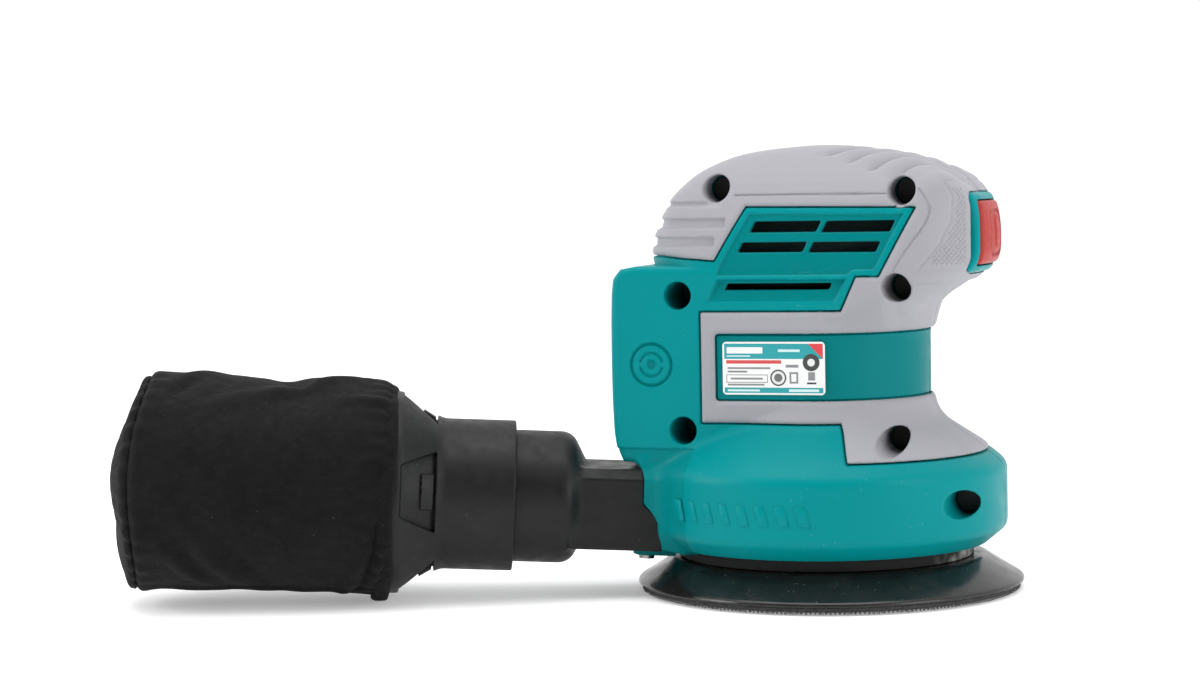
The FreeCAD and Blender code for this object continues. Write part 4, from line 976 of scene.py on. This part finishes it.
class Look:
    """One procedural material, built up round its Principled shader, in millimetre coordinates."""

    def __init__(self, name, colour, roughness, **sockets):
        self.material = bpy.data.materials.new(name)
        self.material.use_nodes = True
        self.tree = self.material.node_tree
        self.shader = self.tree.nodes["Principled BSDF"]
        self.colour = colour
        self.shader.inputs["Base Color"].default_value = (*colour, 1)
        self.shader.inputs["Roughness"].default_value = roughness
        for socket, value in sockets.items():
            self.shader.inputs[socket.replace("_", " ")].default_value = value
        place = self.node("ShaderNodeTexCoord")
        scale = self.node("ShaderNodeVectorMath", operation="SCALE")
        scale.inputs["Scale"].default_value = 1 / MM
        self.link(place.outputs["Object"], scale.inputs[0])
        self.place = scale.outputs[0]
        self.normal = None

    def node(self, kind, **settings):
        """A new node with its settings."""
        item = self.tree.nodes.new(kind)
        for key, value in settings.items():
            setattr(item, key, value)
        return item

    def link(self, a, b):
        self.tree.links.new(a, b)

    def noise(self, size, detail=2.0, stretch=(1, 1, 1)):
        """Noise whose features are about size millimetres."""
        item = self.node("ShaderNodeTexNoise")
        item.inputs["Scale"].default_value = 1 / size
        item.inputs["Detail"].default_value = detail
        place = self.place
        if stretch != (1, 1, 1):
            scale = self.node("ShaderNodeVectorMath", operation="MULTIPLY")
            scale.inputs[1].default_value = stretch
            self.link(place, scale.inputs[0])
            place = scale.outputs[0]
        self.link(place, item.inputs["Vector"])
        return item.outputs["Fac"]

    def mark(self, name):
        """A value painted on the mesh's points; 0 where a mesh has none."""
        return self.node("ShaderNodeAttribute", attribute_name=name).outputs["Fac"]

    def axis(self, direction):
        """Distance along a direction, in millimetres."""
        item = self.node("ShaderNodeVectorMath", operation="DOT_PRODUCT")
        item.inputs[1].default_value = direction
        self.link(self.place, item.inputs[0])
        return item.outputs["Value"]

    def math(self, operation, *operands):
        """A sum, product or other function of sockets and plain numbers."""
        item = self.node("ShaderNodeMath", operation=operation)
        for socket, operand in zip(item.inputs, operands):
            if isinstance(operand, (int, float)):
                socket.default_value = operand
            else:
                self.link(operand, socket)
        return item.outputs[0]

    def product(self, *factors):
        """The product of two or more sockets or numbers."""
        result = factors[0]
        for factor in factors[1:]:
            result = self.math("MULTIPLY", result, factor)
        return result

    def spread(self, source, low, high, to_low=0.0, to_high=1.0):
        """A value stretched from one range to another, and held at its ends."""
        item = self.node("ShaderNodeMapRange")
        for key, value in zip(("From Min", "From Max", "To Min", "To Max"), (low, high, to_low, to_high)):
            item.inputs[key].default_value = value
        self.link(source, item.inputs["Value"])
        return item.outputs["Result"]

    def tint(self, mask, colour):
        """Mixes a colour over the base where the mask is high."""
        mix = self.node("ShaderNodeMix", data_type="RGBA")
        socket = self.shader.inputs["Base Color"]
        if socket.links:
            self.link(socket.links[0].from_socket, mix.inputs["A"])
        else:
            mix.inputs["A"].default_value = (*self.colour, 1)
        mix.inputs["B"].default_value = (*colour, 1)
        self.link(mask, mix.inputs["Factor"])
        self.link(mix.outputs["Result"], socket)

    def vary_roughness(self, source, low, high):
        """Lets the roughness run from low to high with the source."""
        self.link(self.spread(source, 0.3, 0.7, low, high), self.shader.inputs["Roughness"])

    def bump(self, height, distance, strength=1.0):
        """Raises the surface by up to a distance in millimetres."""
        item = self.node("ShaderNodeBump")
        item.inputs["Distance"].default_value = distance * MM
        item.inputs["Strength"].default_value = strength
        self.link(height, item.inputs["Height"])
        if self.normal:
            self.link(self.normal, item.inputs["Normal"])
        self.normal = item.outputs["Normal"]
        self.link(self.normal, self.shader.inputs["Normal"])


def finish(name, colour, roughness, tints=(), wear=None, grains=(), **sockets):
    """A finish made up of noise.

    Each tint is a size, detail, start, end, share and colour; wear is a size, detail and the lowest and
    highest roughness; each grain is a size, detail and height. Any may end with a stretch of the noise.
    """
    look = Look(name, colour, roughness, **sockets)
    for size, detail, low, high, share, shade, *stretch in tints:
        look.tint(look.spread(look.noise(size, detail, *stretch), low, high, 0, share), shade)
    if wear:
        size, detail, low, high, *stretch = wear
        look.vary_roughness(look.noise(size, detail, *stretch), low, high)
    for size, detail, height, *stretch in grains:
        look.bump(look.noise(size, detail, *stretch), height)
    return look


def teal_plastic():
    """Moulded casing plastic with a few pale scuffs, and painted shade that darkens its recesses."""
    look = finish("moulded_teal", (0.0, 0.235, 0.248), 0.4, [(38, 2, 0.3, 0.75, 0.35, (0.0, 0.2, 0.215))],
                  (6, 4, 0.31, 0.44), [(0.35, 2, 0.012)], Specular_IOR_Level=0.07)
    scuffs = look.spread(look.noise(1.1, 5), 0.68, 0.74)
    patches = look.spread(look.noise(22, 2), 0.52, 0.62)
    look.tint(look.product(scuffs, patches, 0.55), (0.25, 0.45, 0.44))
    # painted shade: a darker teal where the recesses are marked
    look.tint(look.product(look.mark(RECESS_SHADE_MARK), 0.9), (0.0, 0.17, 0.178))
    return look


def bag_fabric(name="bag_weave", thread=0.45):
    """Plain-woven polyester: warp and weft along and across the bag, with slubs, lint and worn patches."""
    look = finish(name, (0.0048, 0.0048, 0.0048), 0.85,
                  [(16, 4, 0.35, 0.8, 0.5, (0.011, 0.011, 0.011)),
                   (1.2, 3, 0.55, 0.8, 0.6, (0.013, 0.013, 0.013), (0.25, 0.25, 1.6)),
                   (1.0, 4, 0.745, 0.765, 0.8, (0.12, 0.12, 0.117))], (3, 3, 0.76, 0.92),
                  Specular_IOR_Level=0.15, Sheen_Weight=0.06, Sheen_Roughness=0.4,
                  Sheen_Tint=(0.5, 0.5, 0.5, 1))
    turns = 2 * math.pi / thread
    out, _, up = PORT.to_3x3().col
    warp, weft = [look.math("SINE", look.product(look.axis(way), turns)) for way in (out, up)]
    look.bump(look.product(warp, weft), 0.09)
    look.bump(look.noise(1.5, 4), 0.12)
    look.bump(look.noise(6, 3), 0.5)
    return look


def metal(name, colour, roughness, grain=(1, 1, 1)):
    """A bare metal with a slight change of shade and roughness."""
    return finish(name, colour, roughness, [(6, 4, 0.4, 0.8, 0.5, [c * 0.75 for c in colour])],
                  (2, 4, roughness - 0.06, roughness + 0.14, grain), [(0.5, 3, 0.008, grain)], Metallic=1.0)


def plain(name, colour, roughness, size=2.0, bump=0.02, **sockets):
    """A moulded or pressed material with a fine grain and a slight change of shade."""
    return finish(name, colour, roughness, [(size * 6, 4, 0.35, 0.8, 0.5, [c * 0.72 for c in colour])],
                  (size, 4, max(roughness - 0.08, 0.05), min(roughness + 0.12, 1)), [(size / 5, 3, bump)],
                  **sockets)


def copper_winding():
    """Enamelled copper, ridged by its turns."""
    look = finish("enamelled_copper", (0.6, 0.22, 0.07), 0.32, [(2, 3, 0.4, 0.8, 1, (0.36, 0.12, 0.04))],
                  Metallic=1.0)
    look.bump(look.math("SINE", look.product(look.axis((0.7, 0.7, 0.4)), 12.0)), 0.12)
    return look


def brake_ring():
    """Dark rubber, tinted pale at its two ends as painted light where the ring is lit."""
    look = finish("brake_ring_rubber", (0.012, 0.012, 0.012), 0.7, grains=[(1.0, 4, 0.1)],
                  Specular_IOR_Level=0.2)
    # painted light: pale only at the ring's two ends, where it is lit; the noise breaks those lit patches up
    ends = look.spread(look.math("ABSOLUTE", look.axis((1, 0, 0))), 40, 46)
    dust = look.spread(look.noise(5.0, 5), 0.42, 0.65, 0, 0.7)
    look.tint(look.product(ends, dust), (0.42, 0.42, 0.4))
    return look


def label_print():
    """A plain rating plate: coloured bands, bars, discs and grey rules, with no lettering."""
    white, teal, pale, grey = (0.8, 0.8, 0.79), (0.0, 0.3, 0.33), (0.6, 0.75, 0.75), (0.22, 0.22, 0.23)
    silver, black, dark, soot = (0.7, 0.7, 0.7), (0.03, 0.03, 0.03), (0.05, 0.05, 0.05), (0.12, 0.12, 0.12)
    look = Look("printed_label", white, 0.3, Coat_Weight=0.3, Coat_Roughness=0.2)
    x = look.axis((1, 0, 0))
    z = look.axis((0, 0, 1))
    length = LABEL_FRONT - LABEL_REAR
    height = LABEL_TOP - LABEL_LOW
    edge = 0.6

    def within(place, start, low, high):
        gap = look.math("ABSOLUTE", look.math("SUBTRACT", place, start + (low + high) / 2))
        return look.math("LESS_THAN", gap, (high - low) / 2)

    def rectangle(left, right, low, high):
        return look.product(within(x, LABEL_REAR, left, right), within(z, LABEL_LOW, low, high))

    def disc(centre_x, centre_z, radius):
        dx = look.math("SUBTRACT", x, LABEL_REAR + centre_x)
        dz = look.math("SUBTRACT", z, LABEL_LOW + centre_z)
        gap = look.math("SQRT", look.math("ADD", look.product(dx, dx), look.product(dz, dz)))
        return look.math("LESS_THAN", gap, radius)

    look.tint(rectangle(edge, length - edge, height - 5.4, height - edge), teal)
    look.tint(rectangle(edge, length - edge, edge, 2.3), teal)
    look.tint(rectangle(1.2, 19.0, height - 6.9, height - 5.8), (0.6, 0.05, 0.05))
    corner = look.math("GREATER_THAN", look.math("ADD", x, z), LABEL_FRONT + LABEL_TOP - 6.0)
    look.tint(look.product(corner, rectangle(edge, length - edge, edge, height - edge)), (0.62, 0.03, 0.04))
    for left, right, below, above, colour in (
            (1.4, 13.0, 3.7, 1.7, white), (1.4, 9.0, 4.7, 4.3, pale), (18.0, 25.0, 3.2, 2.4, pale)):
        look.tint(rectangle(left, right, height - below, height - above), colour)
    for left, right, low, high, colour in (
            (1.6, 15.5, 8.1, 8.7, grey), (1.6, 8.0, 7.0, 7.6, grey), (1.6, 13.5, 2.9, 3.5, grey),
            (20.4, 24.5, 8.6, 9.5, grey), (1.2, 14.6, 3.8, 6.4, grey), (1.45, 14.35, 4.05, 6.15, white),
            (2.6, 13.0, 4.8, 5.4, grey), (21.6, 24.4, 3.6, 7.2, grey), (22.2, 23.8, 4.2, 6.6, white),
            (27.2, 30.2, 3.4, 4.0, black), (27.6, 29.8, 4.6, 7.2, grey), (21.4, 31.0, 1.0, 1.8, pale),
            (1.6, 12.0, 1.1, 1.7, pale)):
        look.tint(rectangle(left, right, low, high), colour)
    for centre, rings in (((28.6, 10.2), ((2.7, black), (1.2, silver))),
                          ((18.0, 5.4), ((2.6, dark), (2.1, silver), (1.3, soot)))):
        for radius, colour in rings:
            look.tint(disc(*centre, radius), colour)
    look.bump(look.noise(0.8, 2), 0.01)
    return look


# ------------ stage: floor, light, camera

def make_floor():
    """A plain pale floor just under the sander."""
    size = 8.0
    mesh = bpy.data.meshes.new("studio_floor")
    mesh.from_pydata([(-size, -size, 0), (size, -size, 0), (size, size, 0), (-size, size, 0)], [],
                     [(0, 1, 2, 3)])
    floor = bpy.data.objects.new("studio_floor", mesh)
    bpy.context.scene.collection.objects.link(floor)
    floor.location.z = -0.0002
    look = Look("pale_floor", (0.88, 0.88, 0.88), 0.75, Specular_IOR_Level=0.1, Emission_Strength=0.3,
                Emission_Color=(1, 1, 1, 1))
    look.tint(look.spread(look.noise(400, 2), 0.3, 0.8, 0, 0.3), (0.84, 0.84, 0.845))
    mesh.materials.append(look.material)


def area_light(name, place, target, width, height, power):
    """A soft box that faces its target."""
    light = bpy.data.lights.new(name, "AREA")
    light.shape = "RECTANGLE"
    light.size = width
    light.size_y = height
    light.energy = power
    lamp = bpy.data.objects.new(name, light)
    lamp.location = place
    lamp.rotation_euler = (Vector(target) - Vector(place)).to_track_quat("-Z", "Y").to_euler()
    bpy.context.scene.collection.objects.link(lamp)


def make_world():
    """A white studio sky, a little darker towards the side that the sander is seen from."""
    world = bpy.data.worlds.new("studio")
    bpy.context.scene.world = world
    world.use_nodes = True
    tree = world.node_tree
    place = tree.nodes.new("ShaderNodeTexCoord")
    ramp = tree.nodes.new("ShaderNodeMapRange")
    split = tree.nodes.new("ShaderNodeSeparateXYZ")
    tree.links.new(place.outputs["Generated"], split.inputs[0])
    tree.links.new(split.outputs["Y"], ramp.inputs["Value"])
    for key, value in (("From Min", -0.9), ("From Max", 0.0), ("To Min", 0.08), ("To Max", 1.05)):
        ramp.inputs[key].default_value = value
    tree.links.new(ramp.outputs["Result"], tree.nodes["Background"].inputs["Strength"])
    tree.nodes["Background"].inputs["Color"].default_value = (1, 1, 1, 1)


def make_lights():
    """Three soft boxes and the studio sky."""
    aim = (-0.05, 0, 0.06)
    area_light("top_softbox", (-0.1, -0.2, 1.6), aim, 1.6, 1.2, 15)
    area_light("left_softbox", (-1.5, -0.75, 0.8), aim, 0.7, 1.1, 16)
    area_light("right_softbox", (1.3, -0.5, 0.55), aim, 0.7, 0.9, 7)
    make_world()
    scene = bpy.context.scene
    scene.view_settings.view_transform = "Standard"
    scene.view_settings.exposure = 0.0


def make_camera():
    """The view from the screw side, turned towards the switch and slightly down."""
    turn, down, roll = math.radians(18.0), math.radians(3.4), math.radians(-1.1)
    look_way = Vector((-math.sin(turn) * math.cos(down), math.cos(turn) * math.cos(down), -math.sin(down)))
    data = bpy.data.cameras.new("camera")
    data.lens = 81.0
    data.sensor_width = 36.0
    camera = bpy.data.objects.new("camera", data)
    camera.location = (0.2011, -0.8532, 0.1341)
    turned = look_way.to_track_quat("-Z", "Y").to_matrix().to_4x4() @ Matrix.Rotation(roll, 4, "Z")
    camera.rotation_euler = turned.to_euler()
    bpy.context.scene.collection.objects.link(camera)
    bpy.context.scene.camera = camera


# ------------ assembly

def dress(piece, body, slot, material, *nodes):
    """Gives a new piece its material and body, in place of CAD nodes; its slot is not used."""
    piece.data.materials.clear()
    piece.data.materials.append(material)
    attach(piece, body)
    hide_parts(*nodes)
    return piece


def make_materials():
    """Every finish, under the name of its slot."""
    looks = {
        "teal_plastic": teal_plastic(), "label": label_print(), "copper": copper_winding(),
        "bag_fabric": bag_fabric(), "bag_trim": bag_fabric("bag_tape", 0.8), "brake_rubber": brake_ring(),
        "grey_grip": finish(
            "soft_grey_grip", (0.325, 0.323, 0.35), 0.62,
            [(30, 3, 0.3, 0.75, 0.3, (0.29, 0.29, 0.315)), (2.2, 8, 0.68, 0.8, 0.35, (0.27, 0.27, 0.285))],
            (5, 4, 0.54, 0.7), [(0.3, 3, 0.02)], Specular_IOR_Level=0.2, Sheen_Weight=0.05,
            Sheen_Roughness=0.5),
        "black_plastic": finish(
            "black_plastic_grain", (0.0075, 0.0075, 0.0078), 0.4,
            [(14, 5, 0.35, 0.75, 0.6, (0.0125, 0.0125, 0.0128)),
             (0.8, 3, 0.71, 0.76, 0.4, (0.12, 0.12, 0.12))],
            (4, 5, 0.36, 0.55), [(0.28, 3, 0.03), (2.4, 3, 0.03)], Specular_IOR_Level=0.24),
        "red_rubber": finish(
            "red_button", (0.38, 0.034, 0.028), 0.42, [(5, 3, 0.35, 0.75, 0.5, (0.3, 0.02, 0.018))],
            (1.4, 4, 0.38, 0.55), [(0.3, 2, 0.015)], Specular_IOR_Level=0.22),
        "pad_rubber": finish(
            "pad_rubber", (0.009, 0.009, 0.009), 0.2,
            [(0.9, 2, 0.72, 0.75, 0.6, (0.2, 0.2, 0.2)), (9, 5, 0.5, 0.8, 0.5, (0.03, 0.03, 0.03))],
            (7, 5, 0.12, 0.3), [(2.5, 4, 0.02)], Specular_IOR_Level=0.42),
        "hook": finish(
            "hook_nylon", (0.02, 0.02, 0.02), 0.6, [(0.7, 3, 0.45, 0.75, 1, (0.07, 0.07, 0.07))],
            grains=[(0.4, 2, 0.1)], Sheen_Weight=0.2),
        "black_screw": finish(
            "near_black_screw_steel", (0.02, 0.02, 0.021), 0.5, (), (1.2, 4, 0.42, 0.65), [(0.5, 3, 0.01)],
            Metallic=0.6),
        "dark_foam": plain("dark_foam_and_slot_shade", (0.012, 0.03, 0.03), 0.9, 1.0, 0.2),
        "magnet": plain("ferrite", (0.05, 0.05, 0.055), 0.6),
        "carbon": plain("carbon_brush", (0.03, 0.03, 0.03), 0.5),
        "board": plain("circuit_board", (0.02, 0.11, 0.04), 0.4, Coat_Weight=0.4),
        "wire": plain("wire_sleeve", (0.3, 0.02, 0.02), 0.4),
        "steel": metal("zinc_plated_steel", (0.42, 0.42, 0.41), 0.34),
        "bright_steel": metal("ground_steel", (0.62, 0.62, 0.61), 0.2, (0.3, 0.3, 2)),
        "zinc": metal("cast_zinc", (0.4, 0.4, 0.41), 0.45),
        "aluminium": metal("cast_aluminium", (0.56, 0.57, 0.58), 0.42),
        "brass": metal("tinned_brass", (0.66, 0.52, 0.24), 0.28),
    }
    return {slot: look.material for slot, look in looks.items()}


def dress_frame(looks):
    """Each CAD node that stays shown gets the finish of its own slot."""
    for name, node in frame["nodes"].items():
        # the housing screws take near-black steel in place of their own finish, which keeps the deep screw
        # bores dark
        slot = "black_screw" if name == "housing_screws" else node.data.materials[0].name.split(".")[0]
        node.material_slots[0].link = "OBJECT"
        node.material_slots[0].material = looks[slot]


def make_pieces(looks):
    """Every sculpted or drawn piece, on its body and with its material."""
    shell = (-63.5, -60.5, 7.0), (61.0, 1.0, 146.0)
    grip = (-58.0, -55.0, 42.0), (62.0, 1.0, 146.0)
    shade_box_bounds = (-34, -36, 89), (40, -10, 127)

    def on_side(side, low, high):
        """A grid's corners on the screw side, or mirrored to the other."""
        return (low, high) if side < 0 else ((low[0], -high[1], low[2]), (high[0], -low[1], high[2]))

    for name, side, budget in (("right", -1, 190000), ("left", 1, 170000)):
        casing_side = sculpt(name + "_casing", shell_field(side), *on_side(side, *shell), budget=budget)
        paint_recess_shade(casing_side)
        dress(casing_side, "housing", "teal_plastic", looks["teal_plastic"], name + "_housing")
    for name, side, budget in (("right", -1, 180000), ("left", 1, 170000)):
        soft = sculpt(name + "_soft_grip", grip_field(side), *on_side(side, *grip), budget=budget)
        dress(soft, "housing", "grey_grip", looks["grey_grip"], name + "_grip")
    for name, side in (("right", -1), ("left", 1)):
        # painted shade: a closed dark box behind each side's slots, in the dark foam's finish
        box = sculpt(name + "_slot_shade_box", painted_shade_box_field(side), *on_side(side, *shade_box_bounds), 0.6, 50000)
        dress(box, "housing", "black_plastic", looks["dark_foam"])
    dress(knurl_studs(), "housing", "grey_grip", looks["grey_grip"])
    dress(skirt_bars(), "housing", "teal_plastic", looks["teal_plastic"])

    bezel = sculpt("switch_surround", bezel_field, (BEZEL_BACK - 1, -20, BEZEL_LOW - 1),
                   (62, 20, BEZEL_TOP + 1), 0.35, 60000)
    button = sculpt("switch_paddle", button_field, (BUTTON_BACK - 1, -17, BUTTON_LOW - 1),
                    (63, 17, BUTTON_TOP + 1), 0.35, 60000)
    label = sculpt("rating_plate", label_field, (LABEL_REAR - 1, LABEL_FACE - 0.5, LABEL_LOW - 1),
                   (LABEL_FRONT + 1, LABEL_BACK + 0.5, LABEL_TOP + 1), 0.12, 12000)
    adapter = sculpt("dust_port_body", adapter_field, (38, -24, -24), (114, 24, 24), 0.45, 120000, PORT)
    collar = sculpt("bag_neck_collar", collar_field, (100, -34, -34), (143, 34, 34), 0.45, 150000, PORT)
    bag, binding = dust_bag(), bag_binding()
    pad = sculpt("sanding_pad", pad_field, (PAD_X - 64, -64, HOOK_TOP - 1), (PAD_X + 64, 64, PAD_TOP + 1))
    for piece, body, slot, node in (
            (bezel, "housing", "teal_plastic", "switch_bezel"),
            (button, "button", "red_rubber", "switch_button"),
            (label, "housing", "label", "rating_label"),
            (adapter, "housing", "black_plastic", "dust_port_adapter"),
            (collar, "bag", "black_plastic", "bag_collar"),
            (bag, "bag", "bag_fabric", "dust_bag"),
            (binding, "bag", "bag_trim", "bag_mouth_binding"),
            (pad, "pad", "pad_rubber", "backing_pad"),
            (hook_pile(), "pad", "hook", "hook_face")):
        dress(piece, body, slot, looks[slot], node)


make_camera()
make_floor()
make_lights()
materials = make_materials()
dress_frame(materials)
make_pieces(materials)
